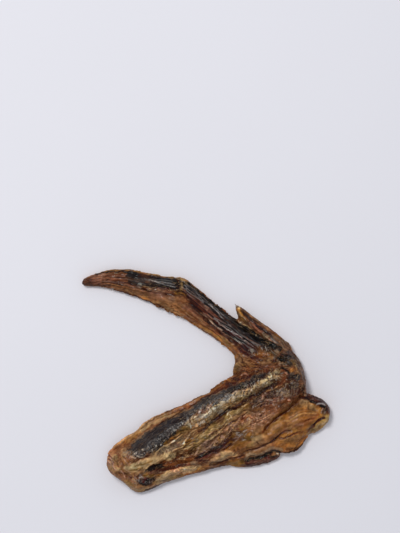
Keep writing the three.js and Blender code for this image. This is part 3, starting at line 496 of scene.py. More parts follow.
SHOULDER = (
    # Skin pulled over the shoulder, in overlapping folds
    mark("amber", 0.92, 6.4, 0, (55, -14.6, 0.6), (49, -16), (42, -18.4), (35, -22.4, 0.8),
         (29.6, -25, 0.3)),
    mark("rust", 0.6, 3, 0, (43, -21), (37, -24), (33, -28)),
    mark("amber", 0.85, 4, 0, (48, -24, 0.7), (42, -28), (35, -30.6, 0.6)),
    mark("russet", 0.45, 1.4, 0, (52, -16.6), (48, -19.4), (44, -22)),
    # Painted highlight on the lobe's crown
    mark("sand", 0.5, 1.6, 0.2, (45.2, -10.4), (48, -11.6), (50.6, -13)),
    *bundle("sand", 0.45, 0.4, 0.15, 5, [(54, -14), (46, -13), (38, -17)],
            [(53, -19), (45, -21), (37, -24)], 33),
    *bundle("russet", 0.4, 0.35, -0.15, 5, [(54, -14), (46, -13), (38, -17)],
            [(53, -19), (45, -21), (37, -24)], 34),
    mark("sand", 0.6, 0.7, 0.2, (44.8, -8.9), (47, -9.7)),
    mark("tan", 0.35, 1.2, 0.2, (36, -17.8), (31.6, -21.6), (30, -24)),
    mark("tan", 0.5, 1, 0, (36.6, -27.6), (40, -27.6), (44, -26)),
    mark("rose", 0.6, 0.5, 0.1, (40.6, -13.4), (41.6, -13)),
    mark("rose", 0.5, 0.5, 0.1, (41, -19.2), (43, -18.2)),
    mark("rose", 0.5, 0.5, 0.1, (42.6, -21), (45.4, -20.6)),
    mark("rose", 0.5, 0.5, 0.1, (30, -25.6), (31, -25.2)),
    mark("rose", 0.4, 0.8, 0.1, (31, -23.6), (33, -22), (35, -21.2)),
    mark("russet", 0.8, 0.45, -0.15, (45.6, -6.8), (43, -10), (40, -12.6), (37.3, -14.9), (34, -17.4),
         (31, -19.6), (28.6, -22, 1.2), (27.2, -24.4)),
    mark("umber", 0.3, 0.35, 0, (43.4, -9.6), (40, -12.4), (36, -15.8), (32, -18.8)),
    swelling(3.2, 0.3, (45.6, -6.8), (40, -12.6), (34, -17.6), (28.6, -22), lap=-1),
    mark("sand", 0.5, 0.3, 0, (36.4, -17), (34, -18.6), (31.8, -20)),
    mark("umber", 0.8, 0.45, -0.4, (40, -23.6), (37, -24.2), (34, -26.4), (31, -28.8), (28, -30.2),
         (24.4, -31.8), (21.6, -33.4)),
    mark("mauve", 0.5, 0.9, 0, (31, -27.8), (34, -25.4), (38, -23.6)),
    swelling(2.4, 0.5, (40, -23.4), (34, -26.4), (28, -30.4), (22, -33.4), lap=-1),
    mark("russet", 0.75, 0.45, -0.5, (45.6, -24), (41, -25.6), (38, -27), (34.6, -27.2)),
    mark("amber", 0.8, 0.6, 0.2, (35.4, -26), (38.8, -25.6)),
    mark("russet", 0.5, 0.5, -0.3, (52, -17.6), (46, -19.6), (41, -21.8)),
    mark("tan", 0.6, 1.5, 0, (20, -35), (25, -33.4), (29.6, -31.2)),
    mark("dun", 0.7, 0.6, 0.4, (18.6, -37.4), (20.6, -35), (24, -35.2), (27, -34.2), (30, -32.4),
         (33, -32), (36, -32.4)),
    mark("umber", 0.5, 0.4, -0.2, (20, -33), (24, -32), (28, -31)),
    mark("ochre", 0.7, 1.8, 0, (11, -39.6, 0.7), (14.6, -38.6), (17.6, -38.8, 0.6)),
    # Strip of dark meat under the edge
    mark("maroon", 0.9, 3, 0, (20.6, -39.4, 0.6), (24, -38.8), (29, -37.2), (33.4, -36.4)),
    mark("mauve", 0.6, 0.9, 0, (29.6, -38), (32, -37.2), (34.4, -36.2)),
    mark("mauve", 0.5, 0.6, 0.3, (20, -38), (24, -38.6), (27.6, -38)),
    mark("blood", 0.4, 0.6, 0.1, (27, -37), (30, -36)),
    # Painted shadow of the overhanging skin along the top of the meat strip
    mark("soot", 0.9, 0.6, -0.3, (20, -37.4), (21, -36.5), (24, -36.7), (27, -35.7), (29.6, -34),
         (34.4, -33.4)),
    mark("rust", 0.9, 0.8, 0.3, (31.6, -35), (33.6, -34.5), (34.6, -34.9)),
    mark("chalk", 0.6, 0.35, 0.2, (33.4, -34.4), (34.4, -34.6)),
    mark("soot", 0.6, 0.5, -0.2, (30.8, -36.4), (33, -36)),
    # Cut end
    mark("maroon", 0.95, 1.9, 0.1, (45.4, -7.4, 0.5), (48.6, -7.6), (52, -9), (55, -11), (57.4, -14.4)),
    mark("soot", 0.8, 0.45, -0.2, (44, -8.2), (48, -8.6), (49.4, -9.8), (52, -10.6)),
    # Painted highlight on the meat
    mark("mauve", 0.5, 0.4, 0.2, (50, -8.4), (53, -9.6)),
    mark("ash", 0.75, 0.42, 0.2, (52.4, -11.2), (54.6, -11.2), (56.4, -12)),
    mark("rose", 0.75, 0.4, 0.2, (54.8, -13.6), (54.6, -15.6)),
    mark("soot", 0.85, 0.6, -0.5, (54.2, -12.2), (55.8, -13), (56.8, -14.6)),
    mark("grey", 0.7, 1.2, 0, (55.6, -14.8), (56.6, -16.8)),
    mark("chalk", 0.85, 0.5, 0.4, (46.2, -6.9), (47.2, -7)),
    mark("ochre", 0.5, 2.8, 0, (57.6, -17.4, 0.7), (55, -20), (52, -22.4), (49, -24.4, 0.7)),
    mark("fat", 0.85, 1.9, 0.2, (57.6, -17.8, 0.7), (55, -20.4), (52, -22.8), (49, -24.8, 0.7)),
    mark("brown", 0.4, 1.2, 0, (53, -22.4), (50, -24.4)),
    mark("sand", 0.4, 0.5, 0.1, (57, -18.6), (54.6, -21)),
    mark("maroon", 0.85, 0.55, -0.8, (56, -17.4), (53.6, -18.7), (52, -19.9), (50.4, -21.6)),
    mark("russet", 0.7, 0.6, -0.4, (50.6, -21.6), (47.6, -24.2)),
)

WRIST = (
    mark("brown", 0.85, 7.5, 0, (43, 8), (42, 0), (38, -7)),
    mark("russet", 0.5, 3, 0, (40, -10), (43.5, -6), (45, 0)),
    mark("umber", 0.45, 2, 0, (41.6, -8), (43.4, -4)),
    mark("umber", 0.55, 2.4, 0, (39, 3), (41.6, -2), (40.6, -7)),
    mark("umber", 0.4, 2.6, 0, (23, -12.6), (29, -11.6), (36, -9.4)),
    mark("mauve", 0.65, 1.5, 0, (22.4, -11), (27, -10.4), (31, -9.6), (34.6, -9)),
    mark("grey", 0.85, 2, 0.1, (26, -7.6), (31, -6.2), (34, -5.8)),
    mark("umber", 0.45, 2.6, 0, (26, -5.4), (31, -4.6), (35, -3.6)),
    mark("dun", 0.8, 1.9, 0.2, (35.2, -6.4), (37.2, -5.6), (38.8, -6.4)),
    mark("ash", 0.4, 1, 0.1, (36.2, -4.8), (37.6, -5.4)),
    mark("umber", 0.6, 0.5, -0.3, (28, -7.8), (32, -7.8), (34, -7.2)),
    mark("maroon", 0.5, 0.6, -0.2, (27, -6.4), (30.4, -6.2)),
    mark("umber", 0.65, 0.6, -0.3, (23, -10.8), (25, -10.2), (27.6, -9.2)),
    mark("maroon", 0.5, 0.5, -0.2, (25, -12.4), (28, -11), (31, -10.8)),
    mark("rose", 0.7, 0.4, 0.3, (26.6, -8.6), (27, -7.4)),
    mark("rose", 0.7, 0.3, 0.3, (28, -11.8), (29.4, -11.6)),
    mark("ash", 0.5, 0.3, 0.3, (28.6, -9), (31.6, -9.3)),
    mark("ash", 0.55, 0.4, 0.3, (35, -7.3), (35.8, -6.8)),
    mark("ash", 0.5, 0.4, 0.3, (35, -5.9), (36, -5)),
    mark("rose", 0.7, 0.3, 0.2, (38.6, -9.6), (39.6, -9.4)),
    mark("tan", 0.6, 0.4, 0.2, (28.6, -5), (31.4, -4.4), (34, -2.8), (36, -2.2)),
    mark("umber", 0.75, 1, -0.2, (29.4, -3.4), (31.6, -2.2), (34.4, -1.4)),
    # Web of skin in the corner of the bay
    mark("brown", 0.6, 5, 0, (14, 8), (20, 8.4), (27, 8.6)),
    mark("rust", 0.75, 1.5, 0, (14.2, 11), (14.8, 8), (14.6, 5)),
    mark("tan", 0.6, 1.1, 0, (15.2, 10.4), (15.8, 8), (15.4, 6)),
    mark("russet", 0.75, 2.2, 0, (12, 1.6), (17, 3.6), (23, 5), (29, 5.8)),
    mark("umber", 0.5, 1.1, 0, (20, 2.6), (25, 4), (30, 4.4)),
    mark("tan", 0.75, 1.3, 0, (15, 5.8), (16.4, 8.4), (20, 8.6)),
    mark("amber", 0.7, 0.8, 0.2, (13.8, 12), (14.2, 8), (14.2, 5), (12.2, 2.6)),
    mark("russet", 0.5, 1.2, 0, (15.6, 10), (17, 6.8)),
    # Painted highlight: a light curved line
    mark("rose", 0.75, 0.32, 0.3, (17.2, 2.7), (19, 3), (20.4, 2.4)),
    mark("rose", 0.5, 0.4, 0.2, (16.2, 5.5), (17.4, 5.6)),
    mark("maroon", 0.85, 0.8, -0.5, (12.8, 0.6), (15.4, 0.5), (18, 1), (21, 1.8)),
    mark("maroon", 0.8, 0.6, -0.4, (10, -1.7), (12.4, -1.6), (15, -1.1)),
    mark("amber", 0.75, 0.6, 0.2, (10.2, 0.2), (11.8, 0.2)),
    mark("rose", 0.5, 0.4, 0.2, (11.6, 1.3), (12.4, 1.7)),
    mark("ochre", 0.5, 0.8, 0.1, (17.6, 7.6), (20, 7.2), (22.4, 7)),
    *bundle("umber", 0.5, 0.3, -0.2, 6, [(15, 12.6), (20, 9.8), (28, 10.2)],
            [(13.6, 5.6), (17.6, 3.4), (25, 3)], 35),
    *bundle("tan", 0.4, 0.22, 0.15, 6, [(15, 12.6), (20, 9.8), (28, 10.2)],
            [(13.6, 5.6), (17.6, 3.4), (25, 3)], 36),
    *scattered(("umber", "russet", "tan", "maroon"), 44, 3, 2.2, 0.24, (-12, 28), 68, (14.4, 8),
               (20, 6.6), (30, 7)),
    mark("tan", 0.6, 0.8, 0.1, (26, 8.2), (28.6, 8.4), (30.4, 9.2)),
    mark("mauve", 0.4, 0.9, 0, (26, 6.6), (31, 6.6)),
    mark("umber", 0.6, 0.7, -0.3, (31.4, 9.4), (33.4, 9)),
    mark("dun", 0.6, 0.8, 0.1, (30, 10.3), (33, 11)),
    mark("maroon", 0.85, 0.6, -0.4, (15.4, 15), (18, 13), (20.4, 11.2), (22.6, 10.2)),
    mark("maroon", 0.7, 0.9, -0.3, (18.6, 13.6), (21.6, 12), (24, 10.8)),
    mark("tan", 0.6, 0.35, 0.2, (15.6, 12.8), (17.4, 11.4), (18.6, 10)),
    mark("russet", 0.5, 0.4, 0.1, (21, 13.4), (24, 12)),
    mark("amber", 0.7, 1.2, 0.3, (24, 12.4, 0.6), (27, 12.2), (31, 11.3)),
    mark("russet", 0.7, 0.5, 0, (24.6, 11.4), (28, 11.4)),
    mark("rose", 0.85, 0.45, 0.3, (27, 12.9), (27.8, 12.7)),
    mark("rose", 0.9, 0.4, 0.3, (28.8, 12.2), (29.6, 12)),
    # Knuckles of the wrist, with pits and folds
    mark("dun", 0.75, 0.9, 0.5, (34.4, 8.8), (35.6, 8), (37, 8)),
    mark("umber", 0.6, 0.8, -0.1, (32.8, 7), (34.6, 6.2)),
    mark("umber", 0.85, 0.4, -0.2, (36, 7.5), (36.4, 6.9)),
    mark("soot", 0.95, 1, -0.9, (34.8, 10.3), (36.6, 9.6)),
    mark("soot", 0.92, 1.8, -0.4, (38, 12.2), (39.4, 10.8), (39.8, 8.8)),
    mark("pewter", 0.5, 0.4, 0.3, (38.6, 11), (39.2, 9.8)),
    mark("mauve", 0.5, 0.4, 0.3, (40.2, 11), (40.6, 9.4)),
    mark("dun", 0.6, 0.9, 0.2, (32.6, 12.2), (33.8, 13.8)),
    mark("maroon", 0.6, 0.6, -0.1, (35.4, 12.2), (37.8, 12)),
    mark("mauve", 0.6, 0.5, 0.3, (36.6, 13.2), (38.8, 12.6), (40, 12.8)),
    mark("pewter", 0.55, 0.35, 0.2, (37.8, 7.6), (38.3, 7)),
    mark("ash", 0.4, 0.35, 0.2, (38.8, 9), (39.2, 8)),
    mark("soot", 0.85, 0.6, -0.6, (36, 6), (37, 5.2), (37.6, 4.2), (39, 3.4)),
    mark("russet", 0.75, 1.1, 0.1, (36.4, 3.8), (36.8, 1), (36, -0.8), (34.6, -1.8)),
    mark("rose", 0.6, 0.28, 0.2, (37.4, 3.6), (38.4, 2.4)),
    mark("maroon", 0.5, 0.9, 0, (38.6, 1.6), (38.2, -1)),
    mark("amber", 0.95, 0.75, 0.3, (39.8, 4.8), (41, 4.9)),
    mark("dun", 0.7, 0.5, 0.2, (40, 3.3), (41.2, 3)),
    mark("ochre", 0.5, 0.9, 0, (41, 9), (42.2, 7.2)),
    mark("sand", 0.7, 0.35, 0.3, (42.3, 6.8), (43.2, 4.6)),
    mark("amber", 0.4, 0.8, 0, (42.4, 5), (42.8, 3.2)),
    mark("charcoal", 0.92, 1.7, -0.2, (40.6, 1.1), (42, 0.7), (43.4, 1.6)),
    mark("soot", 0.6, 0.6, -0.2, (40, 2), (41.4, 2.2), (43, 2.6)),
    mark("umber", 0.85, 2.6, 0, (41, -2), (42.2, -6)),
    mark("charcoal", 0.5, 1.4, 0, (40.6, -3), (43.2, -2)),
    mark("mauve", 0.4, 1, 0.1, (39.4, -8.2), (41.6, -7.4)),
    mark("ash", 0.5, 0.32, 0.3, (37.8, -2.2), (37.4, -3.4), (36.6, -4)),
    mark("ash", 0.35, 0.3, 0.2, (40, -1.4), (42.4, -0.8)),
    mark("amber", 0.8, 0.6, 0.1, (40, 16.4), (41, 14.4), (42.2, 12.8)),
    mark("grey", 0.6, 0.5, 0.1, (39.4, 14.2), (41.4, 12), (42.8, 9.8)),
    mark("mauve", 0.6, 0.5, 0, (43.4, 11.4), (44.8, 8), (45.8, 5.6)),
    mark("grey", 0.6, 0.9, 0, (44.4, 5), (45.6, 1.6), (45.4, -3)),
    mark("soot", 0.6, 0.6, 0, (46.2, -2.6), (46, -6)),
    mark("tan", 0.6, 0.6, 0, (40.8, 15.4), (42.4, 12), (43.6, 8.6), (44.8, 5.6)),
    *bundle("umber", 0.6, 0.22, -0.2, 9, [(22, -9.4), (27, -6), (31, -5.6), (36, -6)],
            [(22, -13), (27, -10.6), (32, -10.8), (38, -9)], 37),
    *bundle("ash", 0.35, 0.2, 0.15, 6, [(22, -9.4), (27, -6), (31, -5.6), (36, -6)],
            [(22, -13), (27, -10.6), (32, -10.8), (38, -9)], 38),
    *scattered(("mauve", "umber", "umber"), 26, 2.4, 1.2, 0.2, (0, 40), 66, (23, -10), (30, -7.6),
               (38, -5.6)),
    *bundle("umber", 0.6, 0.28, -0.2, 5, [(38, 15.6), (41, 12), (43, 7)],
            [(42, 14), (44, 9.6), (45.4, 5)], 40),
    *bundle("ash", 0.3, 0.22, 0.2, 4, [(39.6, -0.6), (40.4, -4), (39.4, -8)],
            [(44.6, 0), (44.6, -4), (43.4, -7.6)], 41),
    mark("ash", 0.4, 0.7, 0.1, (43.2, 12, 0.5), (44, 10), (45, 7.6, 0.5)),
    mark("tan", 0.6, 1, 0.1, (14, 6.4, 0.5), (15.5, 8), (16.6, 9.8, 0.5)),
)

HAND = (
    # Meat and skin along the bay
    mark("rust", 0.8, 4.6, 0, (-16, 36, 0.8), (-8, 30.4), (0, 24.6), (8, 18.4), (13, 12.6, 0.7)),
    mark("russet", 0.7, 1.4, 0, (-8, 30.2), (-4, 28), (0, 25.4), (5, 23), (9, 20.4)),
    mark("amber", 0.75, 0.9, 0.2, (-5, 26.2), (2, 22.4), (6, 19.4), (10, 15.6), (12.6, 12)),
    mark("tan", 0.5, 0.8, 0.1, (-2.6, 27.6), (-1, 26.8)),
    mark("moss", 0.6, 0.9, 0.1, (5.4, 20.7), (8, 20), (11.6, 16.8)),
    mark("russet", 0.7, 2.6, 0, (-10, 38), (-4, 33), (3, 28), (10, 22.6), (17, 16.6)),
    mark("mauve", 0.65, 1.5, 0.1, (-10, 34.4), (-6.6, 33), (-3, 31.4)),
    mark("sand", 0.5, 0.4, 0.2, (-3.8, 31.8), (-2, 31.2)),
    mark("russet", 0.5, 0.5, -0.1, (-14, 32.4), (-10, 31.6), (-7.6, 30.6)),
    # Row of plucked quills, from the wrist to the knuckle
    mark("maroon", 0.65, 2.9, 0, (-8, 40.6, 0.8), (-3, 36), (3, 30.6), (9, 25.4), (15, 20.6), (20, 17)),
    mark("mauve", 0.5, 0.9, 0, (-1, 31.4), (1.4, 29.6), (3, 28.6)),
    mark("maroon", 0.7, 2.2, 0, (11, 21), (16, 18.4), (22, 14.6)),
    mark("moss", 0.6, 0.5, 0, (-13, 47.8), (-9, 46.4), (-6.4, 44.6), (-4, 42.4), (-1.4, 40.2)),
    mark("tan", 0.3, 0.4, 0, (-0.6, 39.2), (3, 36.5), (7, 33.4), (11, 30.8), (15, 28.4)),
    mark("soot", 1, 1.2, 0, (-10, 45.1), (-8, 44.7), (-6, 43), (-3.8, 41.1), (-1.4, 39.3), (1.2, 37.4)),
    mark("soot", 1, 1.3, 0, (1, 37.2, 0.8), (3.2, 35.3), (6, 33.2), (9, 30.8), (12, 28.8), (15, 26.4),
         (18, 24, 1.1), (21, 22, 1.3), (24, 19.8, 1.5), (27.4, 17.6, 1.5), (31, 16.2, 1.2),
         (35, 14.6, 0.8)),
    mark("soot", 0.7, 1.2, 0.1, (-9.2, 43.4), (-5, 40.2), (-1.6, 37.6, 0.7)),
    mark("grey", 0.5, 0.8, 0, (9, 27.6), (13, 24.6), (17, 21.8), (21, 19), (24.6, 16.6)),
    mark("mauve", 0.6, 1, 0.1, (-2, 36.4), (1, 34), (4, 31.4), (7, 28.6)),
    mark("rose", 0.6, 0.6, 0.2, (-0.2, 35.2), (0.8, 34)),
    mark("soot", 0.6, 0.5, -0.25, (-6, 35.4), (-3, 33), (0, 30.4), (3, 27.8), (6, 25.4), (9, 22.8),
         (12, 20.6), (16, 18.2)),
    mark("soot", 0.6, 0.45, -0.2, (1.6, 31.2), (5, 28), (8, 26.8), (11, 24.6), (14, 22.8), (17, 20.4),
         (20.4, 17.8)),
    mark("soot", 0.6, 0.4, -0.2, (4.4, 33.2), (7, 30.4), (9, 28.2), (11, 26.8)),
    mark("soot", 0.9, 1.1, -0.4, (10.4, 20, 0.5), (13, 19.2), (15.4, 18.6), (18.6, 18, 0.8)),
    mark("umber", 0.5, 0.5, -0.15, (-9, 39.6), (-6, 37.2), (-3, 34.8)),
    mark("rust", 0.5, 1, 0, (-3, 30.8), (0, 28.6), (2.4, 27.4)),
    # The thin ash and chalk lines below are painted highlights along the quills
    mark("ash", 0.75, 0.24, 0.3, (-9, 43.2), (-7, 41.2), (-5, 39.5), (-3, 38), (-1.4, 36.8)),
    mark("ash", 0.6, 0.22, 0.3, (-8.2, 43.6), (-6, 42), (-4, 40.3), (-2.2, 38.8)),
    mark("soot", 0.95, 1, 0, (-9, 44.6), (-6, 43), (-3.6, 40.8)),
    mark("grey", 0.8, 0.3, 0.3, (-8.6, 41.8), (-6, 39.5), (-4.4, 38.2)),
    mark("soot", 0.8, 0.5, -0.2, (-8, 42.4), (-5, 40), (-2, 37.8), (1, 35.4), (4, 32.6), (7, 29.4)),
    mark("soot", 0.7, 0.5, -0.2, (10, 26.2), (14, 23.2), (18, 20.2), (22, 17.6), (25, 16)),
    mark("ash", 0.75, 0.24, 0.3, (1.6, 35.8), (4, 33.5), (6, 31.6), (7, 30.2), (8.4, 28.7), (10, 27.3),
         (12, 26)),
    mark("ash", 0.6, 0.22, 0.3, (4.2, 34.6), (6, 32.8), (8, 30.8)),
    mark("chalk", 0.7, 0.3, 0.4, (-3, 31.4), (-0.6, 29.8), (1, 28.6), (3, 26.9), (5, 25.3), (7, 23.7),
         (9.2, 21.6)),
    mark("chalk", 0.55, 0.22, 0.2, (8.4, 22.4), (11, 20.4), (13, 19.4), (15.4, 18), (17, 16.8)),
    mark("ash", 0.7, 0.26, 0.3, (4, 29), (6, 27.4), (8, 25.4), (10, 24), (12, 23)),
    mark("ash", 0.6, 0.24, 0.3, (12, 23), (14, 21.7), (16, 20.6), (18, 19), (20, 17.4), (22, 16.2)),
    mark("ash", 0.4, 0.2, 0.2, (12, 25.5), (14, 23.5), (16, 22.3), (18, 20.7), (20, 19.1), (22, 17.5),
         (24, 16)),
    mark("ash", 0.35, 0.2, 0.2, (15, 24), (17, 23), (20.4, 21), (22, 19.6), (24, 18), (26, 16.6)),
    *bundle("umber", 0.6, 0.25, -0.2, 6, [(-6, 35), (5, 25), (18, 15.6)], [(-2, 29), (8, 21), (17, 14)], 5),
    *bundle("rose", 0.35, 0.25, 0.15, 4, [(-8, 35), (2, 28), (10, 22)], [(-6, 30), (2, 24), (12, 17)], 9),
    mark("maroon", 0.6, 0.8, 0, (11.4, 30.6, 0.5), (13, 29.5), (15, 28, 0.5)),
    mark("rose", 0.4, 0.9, 0.1, (-1, 31.4, 0.5), (1, 30), (3.4, 28.4, 0.5)),
    mark("rose", 0.35, 0.8, 0.1, (9, 21.4, 0.5), (11, 20), (13, 18.6, 0.5)),
    mark("soot", 0.7, 0.9, 0, (-12.4, 46.4, 0.5), (-8.6, 44.6), (-5, 42, 0.6)),
    # Painted highlights: thin pale lines along the quills
    mark("ash", 0.65, 0.17, 0.15, (-9.4, 44.6), (-6.4, 41.6), (-3.4, 38.8), (-0.6, 36.6)),
    mark("ash", 0.6, 0.15, 0.15, (-8.2, 45), (-4.8, 42), (-1.6, 39.2), (1, 37)),
)

FINGER = (
    mark("brown", 0.6, 5, 0, (-54, 46.4), (-42, 46.6), (-28, 43.6), (-16, 40)),
    mark("mauve", 0.6, 2.6, 0, (-52, 47.6), (-42, 47.6), (-34, 46), (-24, 43.4), (-17, 41.6)),
    mark("rust", 0.7, 1.6, 0, (-44, 43.6), (-36, 41.6), (-28, 39.4), (-20, 36.6)),
    mark("amber", 0.5, 0.9, 0.1, (-29, 39), (-26, 38.4), (-22, 37)),
    mark("mauve", 0.5, 1.8, 0, (-25, 39.6), (-20, 38.8), (-16, 38.6)),
    mark("tan", 0.4, 2, 0, (-17, 37.6), (-14, 37.4), (-11.4, 37)),
    mark("tan", 0.7, 1.2, 0, (-30, 44), (-27, 43.6), (-25, 43.2)),
    mark("moss", 0.7, 0.8, 0.1, (-12, 47.8), (-11.4, 46), (-11.2, 44.4), (-11.8, 42)),
    mark("ochre", 0.6, 0.7, 0.1, (-14.4, 41), (-11, 40.9), (-9.6, 40)),
    mark("moss", 0.75, 0.6, 0.1, (-47, 51.7), (-36, 52.2), (-26, 50.4), (-15, 48.6), (-9, 47.4)),
    mark("tan", 0.6, 0.3, 0.1, (-24, 48.8), (-19, 48.2), (-12, 48), (-8, 46.6)),
    mark("soot", 0.8, 0.4, -0.3, (-51.6, 49.8), (-48.4, 50.6), (-44, 50.9), (-40, 51.1), (-35.6, 50.8)),
    mark("soot", 0.95, 1.2, 0.1, (-35.6, 50), (-33, 49.8), (-30.6, 49.2, 0.7)),
    mark("charcoal", 0.75, 1.5, 0, (-36, 48.8), (-31, 47.6), (-26, 47.4), (-22, 46.8)),
    mark("umber", 0.6, 0.8, 0, (-31, 49.4), (-26, 48.8), (-22, 47.8)),
    mark("soot", 0.97, 1.15, 0.2, (-22.4, 47.5, 0.5), (-19, 47), (-15.6, 46.7, 1.1), (-12.8, 46.2, 1.1)),
    mark("charcoal", 0.85, 1.3, -0.1, (-35, 46.6), (-30, 45.2, 0.6), (-24, 44.8), (-18, 44.2),
         (-13.4, 43.6)),
    mark("soot", 0.6, 0.7, -0.2, (-20, 44.2), (-16, 43.2), (-13.6, 43.6)),
    mark("soot", 0.97, 1.3, 0.1, (-18.6, 46), (-15.6, 45.7), (-13, 45.4)),
    mark("umber", 0.85, 0.6, -0.4, (-12.9, 46.8), (-12.6, 44.4), (-13, 42.4)),
    # Painted highlights: thin pale lines along the quills
    mark("ash", 0.5, 0.2, 0.2, (-28.8, 47.8), (-26, 47.2), (-24, 46.6), (-21, 45.4), (-18, 44.5),
         (-14.6, 43.8)),
    mark("ash", 0.3, 0.2, 0.2, (-20.4, 45.4), (-17, 44.3), (-15, 43.8)),
    mark("rose", 0.55, 0.35, 0.3, (-42.4, 48.8), (-39, 48.8), (-37.6, 49.4)),
    mark("rose", 0.4, 0.35, 0.2, (-50.6, 49.2), (-47, 49.7)),
    mark("tan", 0.7, 0.4, 0.2, (-48, 46), (-46, 45.6), (-43.4, 45.1), (-41.6, 44.9)),
    mark("umber", 0.6, 0.4, -0.3, (-50, 45), (-46, 46.2), (-42, 46), (-37, 45.6)),
    mark("umber", 0.6, 0.5, -0.3, (-42, 48.2), (-37, 48), (-34.4, 47.2)),
    mark("maroon", 0.6, 0.5, -0.3, (-30, 43.2), (-26, 42.4), (-22, 43.4), (-18, 43.2)),
    mark("maroon", 0.5, 0.6, 0, (-54, 44.8), (-48, 43.8), (-40, 41.6), (-32, 38.8)),
    mark("chalk", 0.6, 0.4, 0.3, (-31, 45.3), (-30, 45)),
    mark("chalk", 0.6, 0.35, 0.3, (-24, 42.7), (-23.2, 42.6)),
    mark("ash", 0.4, 0.5, 0.2, (-32, 44.2), (-30.6, 43.8)),
    mark("rose", 0.6, 0.3, 0.2, (-22.6, 43.2), (-19, 43.4)),
    mark("mauve", 0.5, 0.7, 0.1, (-25, 41.6), (-20, 41)),
    mark("umber", 0.5, 0.5, -0.2, (-19, 40.4), (-15, 40.2)),
    mark("umber", 0.75, 0.5, -0.3, (-13.4, 42), (-10.8, 41.6), (-8.4, 40.4)),
    mark("russet", 0.6, 0.8, 0, (-20.4, 35.4), (-17, 33.6), (-14, 31.6)),
    mark("tan", 0.75, 0.8, 0.1, (-24, 36.8), (-21, 35.4), (-18, 34.2), (-15, 32.6), (-12.4, 31.4)),
    mark("maroon", 0.6, 2, 0, (-58, 46), (-54.6, 46)),
    *bundle("umber", 0.5, 0.3, -0.15, 6, [(-50, 49), (-40, 48), (-28, 46)],
            [(-48, 44.6), (-38, 42), (-26, 39.6)], 21),
    mark("soot", 0.6, 0.9, 0, (-17.4, 46.4, 0.5), (-14.5, 45.4), (-12, 44, 0.5)),
    mark("soot", 0.6, 0.7, 0, (-24, 47.8, 0.6), (-19, 47), (-14, 46.6, 0.6)),
    # Painted highlight: a thin pale line along the quills
    mark("ash", 0.5, 0.16, 0.1, (-24, 46.6), (-19, 46), (-15, 45)),
)

THUMB = (
    mark("brown", 0.95, 5, 0, (15, 33), (22, 27.6), (30, 21), (37, 17)),
    mark("ochre", 0.7, 0.9, 0.2, (15, 34.6), (16.4, 31.6), (17.4, 29)),
    mark("sand", 0.7, 0.5, 0.2, (15.4, 34.2), (16, 34)),
    mark("umber", 0.7, 0.8, -0.3, (17, 32.8), (18.6, 31), (20.6, 29), (22.6, 27.4)),
    mark("tan", 0.7, 0.5, 0.1, (18.4, 32.4), (20.4, 31), (23, 29.2), (26, 26.8), (30, 23.8)),
    mark("tan", 0.55, 0.9, 0, (16.6, 28.6), (19, 27.6)),
    mark("tan", 0.5, 1.2, 0, (31.6, 20.4), (34.6, 18.8)),
    *bundle("umber", 0.5, 0.3, -0.2, 5, [(17, 33), (25, 27), (37, 18.4)],
            [(18, 28), (24, 23), (34, 17)], 39),
    mark("mauve", 0.75, 0.8, 0.3, (20.6, 28), (22.4, 26.4), (25, 24.2), (27.4, 22.4)),
    mark("mauve", 0.6, 0.6, 0.2, (19.4, 26.6), (22.4, 24.4), (25.4, 22)),
    mark("maroon", 0.85, 0.45, -0.4, (22.6, 27.4), (25, 25.2), (27.6, 23.4), (30.4, 21.8)),
    mark("umber", 0.6, 0.4, -0.3, (19, 28.2), (22, 25.2), (24.6, 23.2)),
    mark("sand", 0.75, 0.4, 0.25, (15.6, 27.9), (17, 27), (19, 25.6), (21.4, 23.9), (24, 22.2)),
    mark("chalk", 0.6, 0.4, 0.2, (16.2, 27.3), (17, 26.9)),
    mark("dun", 0.8, 0.8, 0.3, (27.6, 21.8), (29, 20.4), (30, 21)),
    mark("rose", 0.8, 0.4, 0.3, (30, 19), (31, 18.6)),
    mark("ash", 0.75, 0.6, 0.3, (31.2, 19.8), (32.2, 18.6), (33.6, 17.6)),
    mark("umber", 0.4, 0.4, -0.4, (31, 21.2), (33.4, 19.6), (35, 18.4)),
    mark("dun", 0.55, 1.1, 0, (34, 16.8), (36.4, 15.4)),
    mark("grey", 0.6, 1.2, 0, (36.4, 18), (39.4, 15.6)),
    mark("dun", 0.6, 0.8, 0, (31.6, 20.6), (34, 19), (36, 17.8)),
    mark("ochre", 0.4, 0.4, 0.1, (33, 21.4), (38, 18.4)),
)

EDGE_LINES_AND_SHADOWS = (
    # Dark lines along the bay edges, and painted shadow under the lower edges
    mark("umber", 0.6, 0.4, 0, (-28, -20.4), (-20, -15.8), (-10, -11), (0, -6), (6, -2.6), (10.4, 1.2),
         (12.4, 3.6)),
    # Painted shadow: soot along the lower edges, where they stand off the table
    mark("soot", 0.6, 0.5, 0, (-31, -53), (-24, -50.6), (-16, -47.9), (-8, -45.4), (0, -43), (7, -41),
         (12, -41.3)),
    mark("soot", 0.6, 0.5, 0, (20, -41), (26, -40.8), (31, -38.4)),
    mark("soot", 0.7, 0.5, 0, (35, -34.2), (40, -34), (45.4, -30.6), (49, -26.2)),
    mark("umber", 0.7, 0.4, 0, (-46, 43.4), (-38, 40.6), (-30, 38), (-22, 35.2), (-17, 32.4), (-13, 30.4)),
    mark("umber", 0.6, 0.35, 0, (-5, 25.8), (0, 22.6), (5, 18.6), (9, 14.6), (13, 9.8)),
)

